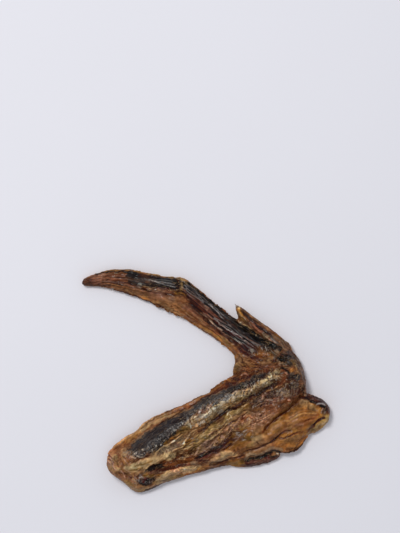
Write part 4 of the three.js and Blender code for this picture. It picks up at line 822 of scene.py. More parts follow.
SWELLINGS = (
    # Edges that stand out a little further
    swelling(2, 1.1, (-33, -24), (-27, -20.6), (-20, -17), (-9, -12.6), (-2, -9), (3, -6.4), lap=1),
    swelling(2.6, 1, (2, -6.4, 0.7), (7, -3), (10.8, -0.2), (12.8, 1.8, 0.6), (13.6, 2.8, 0.3), lap=1),
    swelling(2, 1, (-46.2, -37, 0.6), (-45, -34.6), (-41.6, -31.4), (-37, -28, 0.8),
             (-33, -25.2, 0.4), lap=1),
    swelling(2.4, 0.6, (-20, -46.6), (-12, -44.4), (-4, -42.4), (3, -40.6), lap=-1),
    swelling(2.4, 0.9, (36, -33), (42, -32.2), (46, -28.6), (49, -25), lap=-1),
    swelling(2, 1, (-16, 47.4, 0.5), (-9.4, 45.6), (-4.8, 42.2), (0, 38.6), (4, 35.6), (8, 32.6),
             (12.4, 29.6), lap=1),
    swelling(2, 1, (-46, 50.6), (-36, 50.6), (-26, 49.2), (-20, 48), lap=1),
    swelling(2, 1.2, (-24, 36.4), (-17, 33), (-12, 30.6), lap=-1),
    swelling(2, 1, (7, 17.6), (10.6, 14), (13, 10.6), lap=-1),
)

STROKES = (*SWELLINGS, *UPPER_ARM, *WEB, *FOREARM, *ELBOW, *SHOULDER, *THUMB, *HAND, *FINGER, *WRIST, *EDGE_LINES_AND_SHADOWS)

# Stubs of feathers: foot and tip on the plan map, width at the foot and height of the tip over the skin
Stub = namedtuple("Stub", "foot tip width lift")

PIN_FEATHERS = (
    Stub((28.2, 15.8), (28.9, 13.6), 0.7, 0.4),
    Stub((30.4, 14.8), (31.8, 12.9), 0.6, 0.4),
    Stub((26, 15.6), (27, 14.1), 0.5, 0.4),
    Stub((24, 17), (24.9, 15.2), 0.45, 0.3),
    Stub((29.2, 16.2), (30, 14.4), 0.4, 0.4),
    Stub((14.9, 34.5), (13.8, 35.9), 0.6, 0.3),
    Stub((-43.7, 43.5), (-44.4, 41.8), 0.35, 0.2),
    Stub((-43.2, 43.3), (-43.4, 42), 0.3, 0.2),
    Stub((-20.4, 34.6), (-21.6, 33.4), 0.35, 0.2),
    Stub((-19.4, 34.2), (-19.2, 33), 0.35, 0.2),
    Stub((-11.4, 30.4), (-11.5, 28.5), 0.45, 0.2),
    Stub((-10.6, 30.2), (-10.8, 28.7), 0.4, 0.2),
)

# Where the skin is flecked with down, fibrous, glossy, smooth, rumpled, set with quills, pebbled or mottled:
# a strength, a half width and plan points
Patch = namedtuple("Patch", "strength half points")

FLECKS = (
    Patch(0.7, 1.5, ((-37, -34.8), (-33, -35.4), (-28, -33.6), (-22, -28.6), (-16, -23.6), (-9, -19))),
    Patch(0.5, 1.4, ((-9, -17.6), (-3, -14), (4, -10.6), (10, -8))),
    Patch(0.2, 1.2, ((2, -9.4), (10, -5.6), (18, -2), (27, 3))),
    Patch(0.7, 1.6, ((-33, -47.4), (-30.6, -46), (-27, -47))),
    Patch(0.15, 1.6, ((34, 11), (39, 11), (42, 1))),
)
FIBRES = (
    Patch(0.9, 2.2, SHEATHS),
    Patch(0.35, 1.2, ((-10, -15.6), (4, -8.6), (14, -3.8), (25, 1.8))),
    Patch(0.7, 2, ((22, 13.6), (32, 13.4))),
)
GLOSS = (
    Patch(0.8, 4.5, ((20, -22), (29, -17), (37, -13))),
    Patch(0.7, 5, ((32, -25), (42, -19), (52, -15))),
    Patch(0.7, 3, ((0, -31), (10, -25), (18, -18))),
    Patch(0.6, 2.4, ((-22, -45), (-6, -41), (6, -38))),
    Patch(0.25, 3, ((-8, 42), (10, 29), (30, 16))),
)
SMOOTH = (
    Patch(0.8, 3.4, ((-31, -30), (-20, -23.4), (-8, -16))),
    Patch(0.8, 2.2, ((-37, -41), (-30, -39.6), (-20, -36.4))),
    Patch(0.7, 2.6, ((-40, -31), (-30, -24), (-20, -18.4))),
    Patch(0.9, 3.6, ((11, -29), (24, -29))),
    Patch(0.9, 6.5, ((30, -27), (42, -20), (52, -16))),
    Patch(0.5, 3, ((14, 8), (22, 8.6))),
    Patch(0.6, 2.4, ((-24, 39), (-12, 37))),
    Patch(0.6, 6, ((-42, -36), (-39, -43), (-32, -49))),
    Patch(0.8, 3, ((-47, -38), (-45, -33), (-40, -29))),
    Patch(0.5, 3, ((18, -22), (28, -18))),
    Patch(0.9, 2.6, ((-10, 46), (-5, 42.6), (0, 38.4), (7, 33), (14, 28.4))),
    Patch(0.8, 2.4, ((-44, -31.6), (-30, -21.6), (-16, -14.6), (0, -6.6), (11, 0.6))),
    Patch(0.7, 2.4, ((-24, -49.6), (-10, -45.4), (4, -41.4), (14, -39.8))),
    Patch(0.6, 2, ((18, 34), (28, 25.6), (38, 18.4))),
)
RUMPLED = (
    Patch(1.0, 3.6, ((22, -9), (30, -7), (40, -4))),
    Patch(0.4, 4.5, ((36, 12), (41, 5), (42, -1))),
    Patch(1.0, 4, ((-30, 48), (-9, 43), (0, 36), (12, 26), (24, 18), (34, 14))),
    Patch(0.9, 3, ((16, 33), (26, 25), (36, 18))),
    Patch(0.8, 3, ((-10, -20), (5, -12), (20, -5), (32, 2))),
    Patch(0.7, 3, ((-24, -46), (-12, -43), (0, -41))),
    Patch(0.6, 4, ((-5, -33), (6, -27), (18, -17))),
)
QUILLS = (
    Patch(1.0, 2.2, ((-9, 42.4), (0, 34.4), (12, 25), (24, 17))),
    Patch(0.8, 2, ((-6, 36), (4, 27.6), (14, 20), (22, 14.6))),
    Patch(0.7, 1.7, ((-36, 49.6), (-25, 47.6), (-17, 45.6))),
    Patch(0.7, 1.8, ((17, 31), (25, 25), (34, 18.6))),
    Patch(0.4, 2, ((-52, 47.4), (-40, 47), (-30, 45))),
)
PEBBLED = (
    Patch(1.0, 4, ((20, -21.6), (26, -18.6), (31, -16.4))),
    Patch(0.3, 4, ((36, 10), (41, 5), (41, -1))),
)
MOTTLED = (
    Patch(1.0, 6, ((-42, -36), (-39, -43), (-32, -49))),
    Patch(0.5, 5, ((38, 11), (42, 4), (41, -4))),
    Patch(0.6, 5, ((21, -21), (29, -17), (37, -12))),
    Patch(0.7, 6, ((33, -26), (42, -20), (52, -15))),
    Patch(0.6, 3.4, ((15, 8), (26, 8))),
)

# Edges of the limbs, for wrinkles that run along them, and the width that the wrinkles give each limb
BAY_SIDE_OF_ARM = (
    (-48, -35), (-36, -26), (-26, -18), (-10, -11), (3, -4.5), (14, 3.6), (26, 11), (40, 18),
)
LOW_SIDE_OF_ARM = ((-36, -55), (-23, -50), (-4, -43.4), (12, -40.6), (28, -38.6), (44, -32), (60, -22))
OUTER_SIDE_OF_HAND = (
    (-60, 47), (-47, 52), (-26, 50.6), (-9, 47), (3, 36.8), (16, 27.6), (30, 18.6), (44, 9),
)
BAY_SIDE_OF_HAND = (
    (-60, 44.6), (-44, 42.2), (-30, 38), (-12, 29.4), (2, 20.6), (12, 12), (24, 6), (40, 2),
)
ARM_WIDTH = 30.0
HAND_WIDTH = 14.0
HAND_STARTS = (5, 9)  # where on the plan's y axis the arm's grain gives way to the hand's

# Families of creases: their slant is sideways for each millimetre along the limb
Crease = namedtuple("Crease", "depth slant length width seed")

CREASES = (
    Crease(1.3, 0.0, 11, 2.6, 11),
    Crease(0.9, 0.34, 8, 2.0, 12),
    Crease(0.8, -0.3, 7, 1.6, 13),
    Crease(0.7, 0.1, 4.5, 1.0, 14),
)


# Working with many points at once

CORNER_FACTORS = np.array([1619, 31337, 6971])  # mix the corners of the noise's lattice
SCRAMBLE = (15731, 789221, 1376312589)
LARGEST_KEY = 0x7FFFFFFF
SEED_STEP = 37.7  # units between the stretches of noise that two seeds look at
LINE_STEP = 0.8  # millimetres between the points of a flowing line
COARSE_STEP = 3
EVERYWHERE = 500  # a reach in millimetres that takes in the whole plan


def smoothstep(low, high, values):
    share = np.clip((values - low) / (high - low), 0, 1)
    return share * share * (3 - 2 * share)


def noise(points, seed):
    """Smooth noise from -1 to 1 with features about one unit apart, at the rows of `points`."""
    places = points + seed * SEED_STEP
    cell = np.floor(places).astype(np.int64)
    ease = smoothstep(0, 1, places - cell)
    square, plain, shift = SCRAMBLE
    total = np.zeros(len(points))
    for corner in product((0, 1), repeat=points.shape[1]):
        key = (cell + corner) @ CORNER_FACTORS[: points.shape[1]]
        key = (key ^ (key >> 13)) & LARGEST_KEY
        key = (key * ((key * key * square + plain) & LARGEST_KEY) + shift) & LARGEST_KEY
        weight = np.where(corner, ease, 1 - ease).prod(1)
        total += weight * (1 - key / (LARGEST_KEY // 2))
    return total


def layered(points, layers, seed):
    """Noise with finer and fainter layers added."""
    return sum(noise(points * 2 ** n, seed + n) * 0.5 ** n for n in range(layers))


def smooth_line(points, step=LINE_STEP):
    """A flowing line through plan points in short steps, each row x, y and width factor."""
    knots = np.array([(*point, 1.0)[:3] for point in points])
    padded = np.vstack([2 * knots[0] - knots[1], knots, 2 * knots[-1] - knots[-2]])
    rows = []
    for a, b, c, d in zip(padded, padded[1:], padded[2:], padded[3:]):
        count = max(int(np.hypot(*(c - b)[:2]) / step), 1)
        t = (np.arange(count) / count)[:, None]
        bend = (c - a) * t + (2 * a - 5 * b + 4 * c - d) * t ** 2 + (3 * b - a - 3 * c + d) * t ** 3
        rows.append(b + bend / 2)
    return np.vstack([*rows, knots[-1:]])


Near = namedtuple("Near", "rows distance along side width")


def near_line(plan, points, reach):
    """The points of the plan within about `reach` of a line, and how each of them lies to it."""
    line = smooth_line(points)
    low = line[:, :2].min(0) - reach
    high = line[:, :2].max(0) + reach
    rows = np.flatnonzero(((plan > low) & (plan < high)).all(1))
    start = line[:-1]
    span = line[1:] - start
    offset = plan[rows][:, None] - start[:, :2]
    share = (offset * span[:, :2]).sum(2) / (span[:, :2] ** 2).sum(1)
    share = np.clip(share, 0, 1)
    away = offset - share[..., None] * span[:, :2]
    distance = np.hypot(away[..., 0], away[..., 1])
    best = distance.argmin(1)
    pick = np.arange(len(rows))
    left = span[best, 0] * away[pick, best, 1] - span[best, 1] * away[pick, best, 0]
    return Near(
        rows,
        distance[pick, best],
        (best + share[pick, best]) / len(span),
        np.where(left < 0, -1, 1),
        start[best, 2] + span[best, 2] * share[pick, best],
    )


def far_along(plan, points):
    """Distance to a line and millimetres along it, for every point of the plan."""
    line = smooth_line(points, COARSE_STEP)
    length = np.hypot(*np.diff(line[:, :2], axis=0).T).sum()
    near = near_line(plan, points, EVERYWHERE)
    return near.distance, near.along * length


def seen_on_table(place):
    """Where raised points appear on the table to an eye over the middle of the view."""
    middle = np.array(VIEW_MIDDLE) / MM
    grow = EYE_HEIGHT / (EYE_HEIGHT - place[:, 2:] * MM)
    return middle + (place[:, :2] - middle) * grow


class Surface:
    """The wing's mesh as arrays, in millimetres on the plan map."""

    def __init__(self, mesh):
        self.mesh = mesh
        self.place = np.empty(len(mesh.vertices) * 3)
        mesh.vertices.foreach_get("co", self.place)
        self.place = self.place.reshape(-1, 3) / MM
        edges = np.empty(len(mesh.edges) * 2, int)
        mesh.edges.foreach_get("vertices", edges)
        self.ends = edges.reshape(-1, 2)
        self.count = len(self.place)
        self.degree = np.bincount(edges, minlength=self.count)

    def average(self, values, passes):
        """Each point's values blended with its neighbours', again and again."""
        a, b = self.ends.T
        for _ in range(passes):
            total = np.stack(
                [
                    np.bincount(a, column[b], self.count) + np.bincount(b, column[a], self.count)
                    for column in values.T
                ],
                axis=1,
            )
            values = 0.5 * values + 0.5 * total / self.degree[:, None]
        return values

    def noise(self, size, seed, layers=1):
        """Noise over the skin with features of `size` millimetres, and finer layers on it."""
        return layered(self.place / size, layers, seed)

    def wobble(self, size, seeds, layers=1):
        """Two noises side by side, to shift the plan by."""
        return np.stack([self.noise(size, seed, layers) for seed in seeds], axis=1)

    def measure(self):
        """Normals, plan places and how far each point faces up, after a change of shape."""
        self.store()
        normals = np.empty(self.count * 3)
        self.mesh.vertex_normals.foreach_get("vector", normals)
        self.normal = normals.reshape(-1, 3)
        self.plan = seen_on_table(self.place) + PLAN_CENTRE
        self.top = smoothstep(-0.25, 0.3, self.normal[:, 2])

    def store(self):
        """Writes the places back, inside the solid's box and not below the table."""
        low = np.array(CAD_LOW) / MM
        high = np.array(CAD_HIGH) / MM
        self.place = np.clip(self.place, low, high)
        self.mesh.vertices.foreach_set("co", (self.place * MM).ravel())
        self.mesh.update()


# The skin's form

SOFTENING_PASSES = 14
SHRINK_BACK = 1.04  # gives back a little more than a smoothing pass takes, so the form keeps its size


def even_copy(step):
    """A merged copy of the packed solid with small even faces: of size `step` above, twice that below."""
    mesh = bpy.data.meshes.new(SKIN)
    bm = bmesh.new()
    bm.from_mesh(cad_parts[NODE].data)
    bmesh.ops.remove_doubles(bm, verts=bm.verts, dist=step * 0.02)
    bm.to_mesh(mesh)
    bm.free()
    piece = bpy.data.objects.new(SKIN, mesh)
    bpy.context.scene.collection.objects.link(piece)
    remesh = piece.modifiers.new("Even faces", "REMESH")
    remesh.mode = "VOXEL"
    remesh.voxel_size = 2 * step
    evaluated = piece.evaluated_get(bpy.context.evaluated_depsgraph_get())
    piece.data = bpy.data.meshes.new_from_object(evaluated)
    piece.data.name = SKIN
    piece.modifiers.clear()
    piece.data.materials.clear()
    split_upper_faces(piece.data)
    piece.data.shade_smooth()
    return piece


def split_upper_faces(mesh):
    """Halves the edges that don't look down."""
    bm = bmesh.new()
    bm.from_mesh(mesh)
    upper = [edge for edge in bm.edges if all(end.normal.z > -0.1 for end in edge.verts)]
    bmesh.ops.subdivide_edges(bm, edges=upper, cuts=1, use_grid_fill=True)
    bm.to_mesh(mesh)
    bm.free()


def soften_facets(surface):
    """Takes the flat facets out of the form and keeps its size."""
    for _ in range(SOFTENING_PASSES):
        smoothed = surface.average(surface.place, 1)
        drawn = surface.average(smoothed, 1)
        surface.place = smoothed + SHRINK_BACK * (smoothed - drawn)


def along_and_across(plan, edge, other_edge, width):
    """Millimetres along a limb's edge, and from it to the other edge on a limb of even width."""
    near, along = far_along(plan, edge)
    far, _ = far_along(plan, other_edge)
    return along, width * near / (near + far)


def limb_grain(surface):
    """Millimetres along and across the limb at each point, wandering as dried skin does."""
    arm = along_and_across(surface.plan, BAY_SIDE_OF_ARM, LOW_SIDE_OF_ARM, ARM_WIDTH)
    hand = along_and_across(surface.plan, OUTER_SIDE_OF_HAND, BAY_SIDE_OF_HAND, HAND_WIDTH)
    share = smoothstep(*HAND_STARTS, surface.plan[:, 1])
    along, across = (a * (1 - share) + b * share for a, b in zip(arm, hand))
    along = along * (1 - 0.4 * share)
    wander = (1.5 - 0.9 * share) * surface.noise(6, 3) + (0.7 - 0.5 * share) * surface.noise(2.4, 4)
    return along + 1.5 * surface.noise(5, 2), across + wander


def patchwork(plan, patches, ragged):
    """How strong a finish is at each point, from its patches."""
    strength = np.zeros(len(plan))
    for patch in patches:
        near = near_line(plan, patch.points, patch.half * 2.2)
        share = patch.strength * smoothstep(1.5, 0.6, near.distance / patch.half + ragged[near.rows])
        strength[near.rows] = np.maximum(strength[near.rows], share)
    return strength


def stroke_share(near, half, ragged):
    """How much of a stroke's paint lies on each point near it."""
    width = half * near.width * (1 + 0.3 * ragged[near.rows])
    soft = 0.3 * half + 0.22
    return smoothstep(-soft, soft, width - near.distance)


def stroke_rise(near, stroke):
    """How far a stroke lifts or sinks each point near it."""
    ends = smoothstep(0, 0.14, np.minimum(near.along, 1 - near.along))
    shape = np.exp(-((near.distance / (stroke.half * near.width * 0.85 + 0.05)) ** 2))
    if stroke.lap:
        shape = shape * smoothstep(-0.3, 0.5, near.distance * near.side * stroke.lap)
    return stroke.rise * ends * shape


def lined(along, across, length, width, seed):
    """Noise drawn out along the limb."""
    return noise(np.stack([along / length, across / width], axis=1), seed)


def creased(along, across, crease):
    """How deep one family of creases is at each point: narrow and sharp at the bottom."""
    lines = lined(along, across + crease.slant * along, crease.length, crease.width, crease.seed)
    return crease.depth * (1 - np.abs(lines)) ** 4


def wrinkle_relief(surface, grain, settings):
    """Creases and shrivelled skin, in millimetres: mostly along the limb, but quiet where it is smooth."""
    creases = sum(creased(*grain, crease) for crease in CREASES)
    ridges = 0.7 * lined(*grain, 8, 1.6, 15) + 0.5 * lined(*grain, 3.4, 0.8, 16)
    limbwise = (ridges - creases) * (1 - 0.6 * surface.mottled) * (1 - 0.8 * surface.calm)
    shrivel = layered(surface.place * MM / settings.shrivel_size, 3, 17) * (1 - 0.4 * surface.calm)
    pebbles = surface.pebbled * surface.noise(1.1, 18)
    return (settings.wrinkle * (limbwise + shrivel) + settings.pebble * pebbles) / MM


def raise_relief(surface, grain, settings):
    """Moves the skin along its normals by the strokes' folds and the wrinkles."""
    ragged = 0.3 * surface.noise(3, 5)
    surface.calm = patchwork(surface.plan, SMOOTH, ragged)
    surface.pebbled = patchwork(surface.plan, PEBBLED, ragged)
    surface.mottled = patchwork(surface.plan, MOTTLED, ragged)
    folds = np.zeros(surface.count)
    plan = surface.plan + 0.3 * surface.wobble(2.4, (6, 7))
    for stroke in STROKES:
        if stroke.rise:
            near = near_line(plan, stroke.points, stroke.half * 2.4 + 0.5)
            folds[near.rows] += stroke_rise(near, stroke)
    wrinkles = wrinkle_relief(surface, grain, settings)
    amount = surface.top * folds * settings.fold_depth + (0.4 + 0.6 * surface.top) * wrinkles
    surface.place = surface.place + surface.normal * amount[:, None]


# The skin's colours

FINE_PASSES = 7  # of averaging, for hollows as narrow as a crease
BROAD_PASSES = 56  # for hollows as wide as a fold
CRISP_PASSES = 4
CREASE_SHADE = (0.36, 0.46, 0.5)  # painted shade: how much of each colour a deep crease takes away
CREST_HIGHLIGHT = (0.27, 0.25, 0.22)  # and how much painted highlight a crest adds
WARMTH = (0.05, -0.02, -0.06)  # how patches of warmer skin differ


def painted(surface, skin, colour):
    """The skin's display colours with every stroke laid on in turn."""
    steep = 1 - np.abs(surface.normal[:, 2:])
    plan = surface.plan + (0.42 + 0.5 * steep) * surface.wobble(2.2, (22, 24), 2)
    ragged = surface.noise(1.6, 26, 2)
    for stroke in STROKES:
        near = near_line(plan, stroke.points, stroke.half * 2 + 1)
        rows = near.rows
        share = stroke.cover * stroke_share(near, stroke.half, ragged) * surface.top[rows]
        skin[rows] += (colour[stroke.paint] - skin[rows]) * share[:, None]
    return skin


def paint_skin(surface, grain, paints):
    """Display colours of the skin: ground, strokes, streaks and mottling."""
    colour = {name: to_display(getattr(paints, name)) for name in WingPaints.__annotations__}
    blotch = surface.noise(6, 21)[:, None]
    ground = colour["brown"] * (1 + 0.1 * blotch)
    under = 0.55 * colour["rust"] + 0.45 * colour["tan"] + 0.05 * blotch
    skin = painted(surface, under + (ground - under) * surface.top[:, None], colour)

    streak = 0.6 * lined(*grain, 9, 1.5, 31) + 0.6 * lined(*grain, 4.5, 0.8, 32)
    streak = streak * (1 - 0.75 * surface.mottled) * (1 - 0.5 * surface.calm)
    mottle = surface.noise(1.4, 33, 2)
    patchy = surface.noise(4, 35, 2)
    light = 1 + 0.2 * streak + 0.13 * mottle + 0.12 * patchy * (0.4 + surface.mottled)
    return skin * light[:, None] * (1 + np.outer(surface.noise(4.5, 34), WARMTH))


def hollows(surface, passes):
    """How far each point lies below the mean of its surroundings, in millimetres."""
    mean = surface.average(surface.place, passes)
    return ((mean - surface.place) * surface.normal).sum(1)


def shade_hollows(surface, skin):
    """Paints shade into what lies in creases, darkening and reddening it, and paints highlight onto what
    stands out of them.
    """
    depth = np.clip(3.2 * hollows(surface, FINE_PASSES) + 0.3 * hollows(surface, BROAD_PASSES), -1, 1)
    skin = skin * (1 - np.outer(np.clip(depth, 0, 1), CREASE_SHADE))
    return skin * (1 + np.outer(np.clip(-depth, 0, 1), CREST_HIGHLIGHT))


def crisp(surface, skin, strength):
    """Sharpens the stains' edges."""
    return np.clip(skin + strength * (skin - surface.average(skin, CRISP_PASSES)), 0.05, 1)


def store_colour(mesh, name, rgb, alpha):
    """Keeps four numbers for each point as a colour attribute."""
    layer = mesh.attributes.new(name, "FLOAT_COLOR", "POINT")
    layer.data.foreach_set("color", np.column_stack([rgb, alpha]).ravel())


def store_looks(surface, grain, settings, paints):
    """Keeps the skin's colours with their painted shade and highlights, its finishes and the way of its grain
    on the mesh.
    """
    skin = shade_hollows(surface, paint_skin(surface, grain, paints))
    skin = crisp(surface, skin, settings.crispness)
    ragged = 0.35 * surface.noise(2, 41)
    quills, rumpled, *finishes = (
        patchwork(surface.plan, patches, ragged) for patches in (QUILLS, RUMPLED, FLECKS, FIBRES, GLOSS)
    )
    crinkle = 0.55 + 0.45 * rumpled - 0.35 * surface.calm
    store_colour(surface.mesh, "skin_colour_and_painted_light", bare(skin), quills)
    store_colour(surface.mesh, "skin_finish", np.stack(finishes, axis=1) * surface.top[:, None], crinkle)
    layer = surface.mesh.attributes.new("grain", "FLOAT_VECTOR", "POINT")
    layer.data.foreach_set("vector", np.stack([*grain, surface.place[:, 2]], axis=1).ravel())


# The stubs of feathers

STUB_SIDES = 7
STUB_ROOT = -0.2  # how deep in the skin a stub's foot stands, in millimetres


def on_skin(surface, point, lift):
    """The place of a plan point, in millimetres and `lift` above the skin there."""
    upper = np.flatnonzero(surface.normal[:, 2] > 0)
    nearest = upper[np.hypot(*(surface.plan[upper] - point).T).argmin()]
    height = surface.place[nearest, 2] + lift
    middle = np.array(VIEW_MIDDLE) / MM
    shrink = 1 - height * MM / EYE_HEIGHT
    x, y = middle + (np.array(point) - PLAN_CENTRE - middle) * shrink
    return Vector((x, y, height))


def feather_stubs(surface):
    """A mesh of little cones, each with its foot in the skin."""
    bm = bmesh.new()
    for stub in PIN_FEATHERS:
        foot = on_skin(surface, stub.foot, STUB_ROOT)
        tip = on_skin(surface, stub.tip, stub.lift)
        tip.z = max(tip.z, foot.z * 0.6)
        way = tip - foot
        bmesh.ops.create_cone(
            bm,
            cap_ends=True,
            segments=STUB_SIDES,
            radius1=stub.width / 2,
            radius2=stub.width / 6,
            depth=way.length,
            matrix=Matrix.Translation((foot + tip) / 2) @ way.to_track_quat("Z", "Y").to_matrix().to_4x4(),
        )
    bmesh.ops.scale(bm, vec=(MM, MM, MM), verts=bm.verts)
    mesh = bpy.data.meshes.new(STUBS)
    bm.to_mesh(mesh)
    bm.free()
    return mesh


# Materials

class Graph:
    """A material's nodes, added and wired one at a time."""

    def __init__(self, name):
        self.material = bpy.data.materials.new(name)
        self.material.use_nodes = True
        self.tree = self.material.node_tree
        self.tree.nodes.clear()

    def add(self, kind, inputs, **settings):
        """A node with its settings, and with each input either linked or given a value."""
        node = self.tree.nodes.new(kind)
        for name, value in settings.items():
            setattr(node, name, value)
        for socket, value in inputs.items():
            if isinstance(value, bpy.types.NodeSocket):
                self.tree.links.new(value, node.inputs[socket])
            else:
                node.inputs[socket].default_value = value
        return node

    def math(self, operation, a, b=0.0, clamp=False):
        return self.add("ShaderNodeMath", {0: a, 1: b}, operation=operation, use_clamp=clamp).outputs[0]

    def times(self, a, b):
        return self.math("MULTIPLY", a, b)

    def total(self, *weighted):
        """The sum of values, each times its weight."""
        parts = [self.times(value, weight) for value, weight in weighted]
        return reduce(lambda a, b: self.math("ADD", a, b), parts)

    def attribute(self, name):
        return self.add("ShaderNodeAttribute", {}, attribute_name=name).outputs

    def stretch(self, vector, x, y, z, turn=0.0):
        """The vector turned in plan, and then scaled along each axis."""
        turned = self.add("ShaderNodeMapping", {"Vector": vector, "Rotation": (0, 0, turn)})
        return self.add("ShaderNodeMapping", {"Vector": turned.outputs[0], "Scale": (x, y, z)}).outputs[0]

    def noise(self, vector, scale, detail):
        inputs = {"Vector": vector, "Scale": scale, "Detail": detail, "Roughness": 0.55}
        return self.add("ShaderNodeTexNoise", inputs).outputs["Fac"]

    def band(self, value, low, high, to_low=0.0, to_high=1.0):
        """The value's range from low to high, eased onto another range."""
        inputs = {0: value, 1: low, 2: high, 3: to_low, 4: to_high}
        return self.add("ShaderNodeMapRange", inputs, interpolation_type="SMOOTHSTEP").outputs[0]

    def line(self, value, width):
        """1 where the value crosses its middle, falling to 0 within `width` of it."""
        return self.band(self.math("ABSOLUTE", self.math("SUBTRACT", value, 0.5)), 0.0, width, 1.0, 0.0)

    def mix(self, factor, a, b, blend="MIX"):
        inputs = {0: factor, 6: a, 7: b}
        return self.add("ShaderNodeMix", inputs, data_type="RGBA", blend_type=blend).outputs[2]

    def tint(self, colour, shade):
        return self.mix(1.0, colour, shade, "MULTIPLY")

    def over(self, colour, stain_and_painted_light, amount):
        """The colour with some of another paint over it: a stain, a painted shade or a painted highlight."""
        return self.mix(amount, colour, opaque(stain_and_painted_light))

    def finish(self, **inputs):
        """The finished material, from the inputs of its one shader with _ for each space."""
        named = {name.replace("_", " "): value for name, value in inputs.items()}
        shader = self.add("ShaderNodeBsdfPrincipled", named)
        self.add("ShaderNodeOutputMaterial", {"Surface": shader.outputs[0]})
        return self.material


def opaque(colour):
    return (*colour[:3], 1.0)


def crease_lines(graph, grain, pores, bare_skin, colour, paints):
    """Painted shade along furrows and painted highlights along crests of bare skin: the colour with them, and
    the two kinds of line.
    """
    fold = graph.noise(graph.stretch(grain, 0.22, 1, 0.6, -0.2), 0.8, 3)
    furrow = graph.times(graph.line(fold, 0.04), bare_skin)
    # Painted shade along the furrows
    colour = graph.over(colour, paints.umber, graph.times(furrow, 0.5))
    edge = graph.noise(graph.stretch(grain, 0.2, 1, 0.6, 0.16), 0.85, 3)
    crest = graph.times(graph.line(edge, 0.035), graph.times(bare_skin, graph.band(pores, 0.4, 0.55)))
    # Painted highlight along the crests
    colour = graph.over(colour, paints.sand, graph.times(crest, 0.55))
    return colour, furrow, crest


def quill_lines(graph, grain, quills, colour, paints):
    """Black lines of cut quills and pale lines of painted highlight along them: the colour with them, and the
    pale ones.
    """
    quill = graph.noise(graph.stretch(grain, 0.05, 1, 0), 0.95, 1)
    pale = graph.times(graph.band(quill, 0.56, 0.62), quills)
    dark = graph.times(graph.band(quill, 0.46, 0.4), quills)
    colour = graph.over(colour, paints.soot, graph.times(dark, 0.8))
    # Painted highlights: pale lines along the quills
    return graph.over(colour, paints.ash, graph.times(pale, 0.26)), pale


def down(graph, grain, flecks, fibres, colour, paints):
    """Tufts of down and fine fibres: the colour with them, the tufts and the pale fibres."""
    tuft = graph.noise(graph.stretch(grain, 0.9, 1.2, 1, 0.6), 1.35, 2)
    tuft = graph.times(graph.band(tuft, 0.5, 0.64, 0.0, 0.6), flecks)
    colour = graph.over(colour, paints.ash, tuft)
    strand = graph.noise(graph.stretch(grain, 1.5, 0.35, 0.6, 0.5), 1.2, 2)
    pale = graph.times(graph.band(strand, 0.54, 0.68), fibres)
    dark = graph.times(graph.band(strand, 0.46, 0.34), fibres)
    colour = graph.over(colour, paints.chalk, graph.times(pale, 0.4))
    return graph.over(colour, paints.umber, graph.times(dark, 0.5)), tuft, pale


def skin_material(settings, paints):
    """Greasy dried skin: stains, painted shade and painted highlights from the mesh, with fine streaks,
    painted furrow shade, painted crest and quill highlights, down flecks, fibres and pores.
    """
    graph = Graph("dried_skin_finish")
    # The skin's colours: stains, with painted shade in creases and painted highlights on crests
    stain_and_painted_light = graph.attribute("skin_colour_and_painted_light")
    grain = graph.attribute("grain")["Vector"]
    finish = graph.attribute("skin_finish")
    crinkled = finish["Alpha"]
    flecks, fibres, gloss = graph.add("ShaderNodeSeparateColor", {"Color": finish["Color"]}).outputs

    streak = graph.noise(graph.stretch(grain, 0.15, 1, 0.4), 1.2, 3)
    pores = graph.noise(graph.stretch(grain, 0.34, 1, 0.8, 0.3), 1.7, 3)
    grit = graph.times(graph.band(streak, 0.37, 0.63, 0.58, 1.4), graph.band(pores, 0.35, 0.65, 0.78, 1.2))
    colour = graph.mix(crinkled, stain_and_painted_light["Color"], graph.tint(stain_and_painted_light["Color"], grit))
    bare_skin = graph.times(crinkled, graph.band(stain_and_painted_light["Alpha"], 0.0, 0.8, 1.0, 0.0))
    colour, furrow, crest = crease_lines(graph, grain, pores, bare_skin, colour, paints)
    colour, quill = quill_lines(graph, grain, stain_and_painted_light["Alpha"], colour, paints)
    colour, tuft, fibre = down(graph, grain, flecks, fibres, colour, paints)

    dullness = graph.math("SUBTRACT", graph.band(pores, 0.3, 0.7, 0.56, 0.4), graph.times(gloss, 0.12))
    relief = graph.total((streak, 0.8), (pores, 0.8), (furrow, -0.4), (crest, 0.3), (quill, 0.4))
    height = graph.total((relief, crinkled), (tuft, 0.5), (fibre, 0.5))
    bump = graph.add("ShaderNodeBump", {"Strength": 0.8, "Distance": settings.pore_depth, "Height": height})
    return graph.finish(
        Base_Color=colour,
        Roughness=graph.math("ADD", dullness, graph.times(tuft, 0.3), True),
        Normal=bump.outputs[0],
        IOR=1.46,
        Specular_IOR_Level=0.08,
        Coat_Weight=settings.grease,
        Coat_Roughness=0.2,
        Subsurface_Weight=0.06,
        Subsurface_Radius=(1.0, 0.5, 0.25),
        Subsurface_Scale=0.0015,
    )


def stub_material(paints):
    """Grey horn of the feather stubs, in two patchy shades."""
    graph = Graph("feather_stub_finish")
    place = graph.add("ShaderNodeTexCoord", {}).outputs["Object"]
    patchy = graph.band(graph.noise(place, 900, 2), 0.35, 0.65)
    colour = graph.mix(patchy, opaque(paints.ash), opaque(paints.dun))
    return graph.finish(Base_Color=colour, Roughness=0.45, Specular_IOR_Level=0.3)


def table_material(settings):
    """Matt paper-white tabletop with the faintest unevenness."""
    graph = Graph("table_finish")
    place = graph.add("ShaderNodeTexCoord", {}).outputs["Object"]
    shade = graph.band(graph.noise(place, 5, 2), 0.3, 0.7, 0.985, 1.0)
    colour = graph.tint(opaque(settings.table_colour), shade)
    return graph.finish(Base_Color=colour, Roughness=0.7, Specular_IOR_Level=0.2)


# Settings

def length(name, description, default):
    return FloatProperty(name=name, description=description, default=default, unit="LENGTH", precision=5)


def factor(name, description, default):
    return FloatProperty(name=name, description=description, default=default, min=0, subtype="FACTOR")


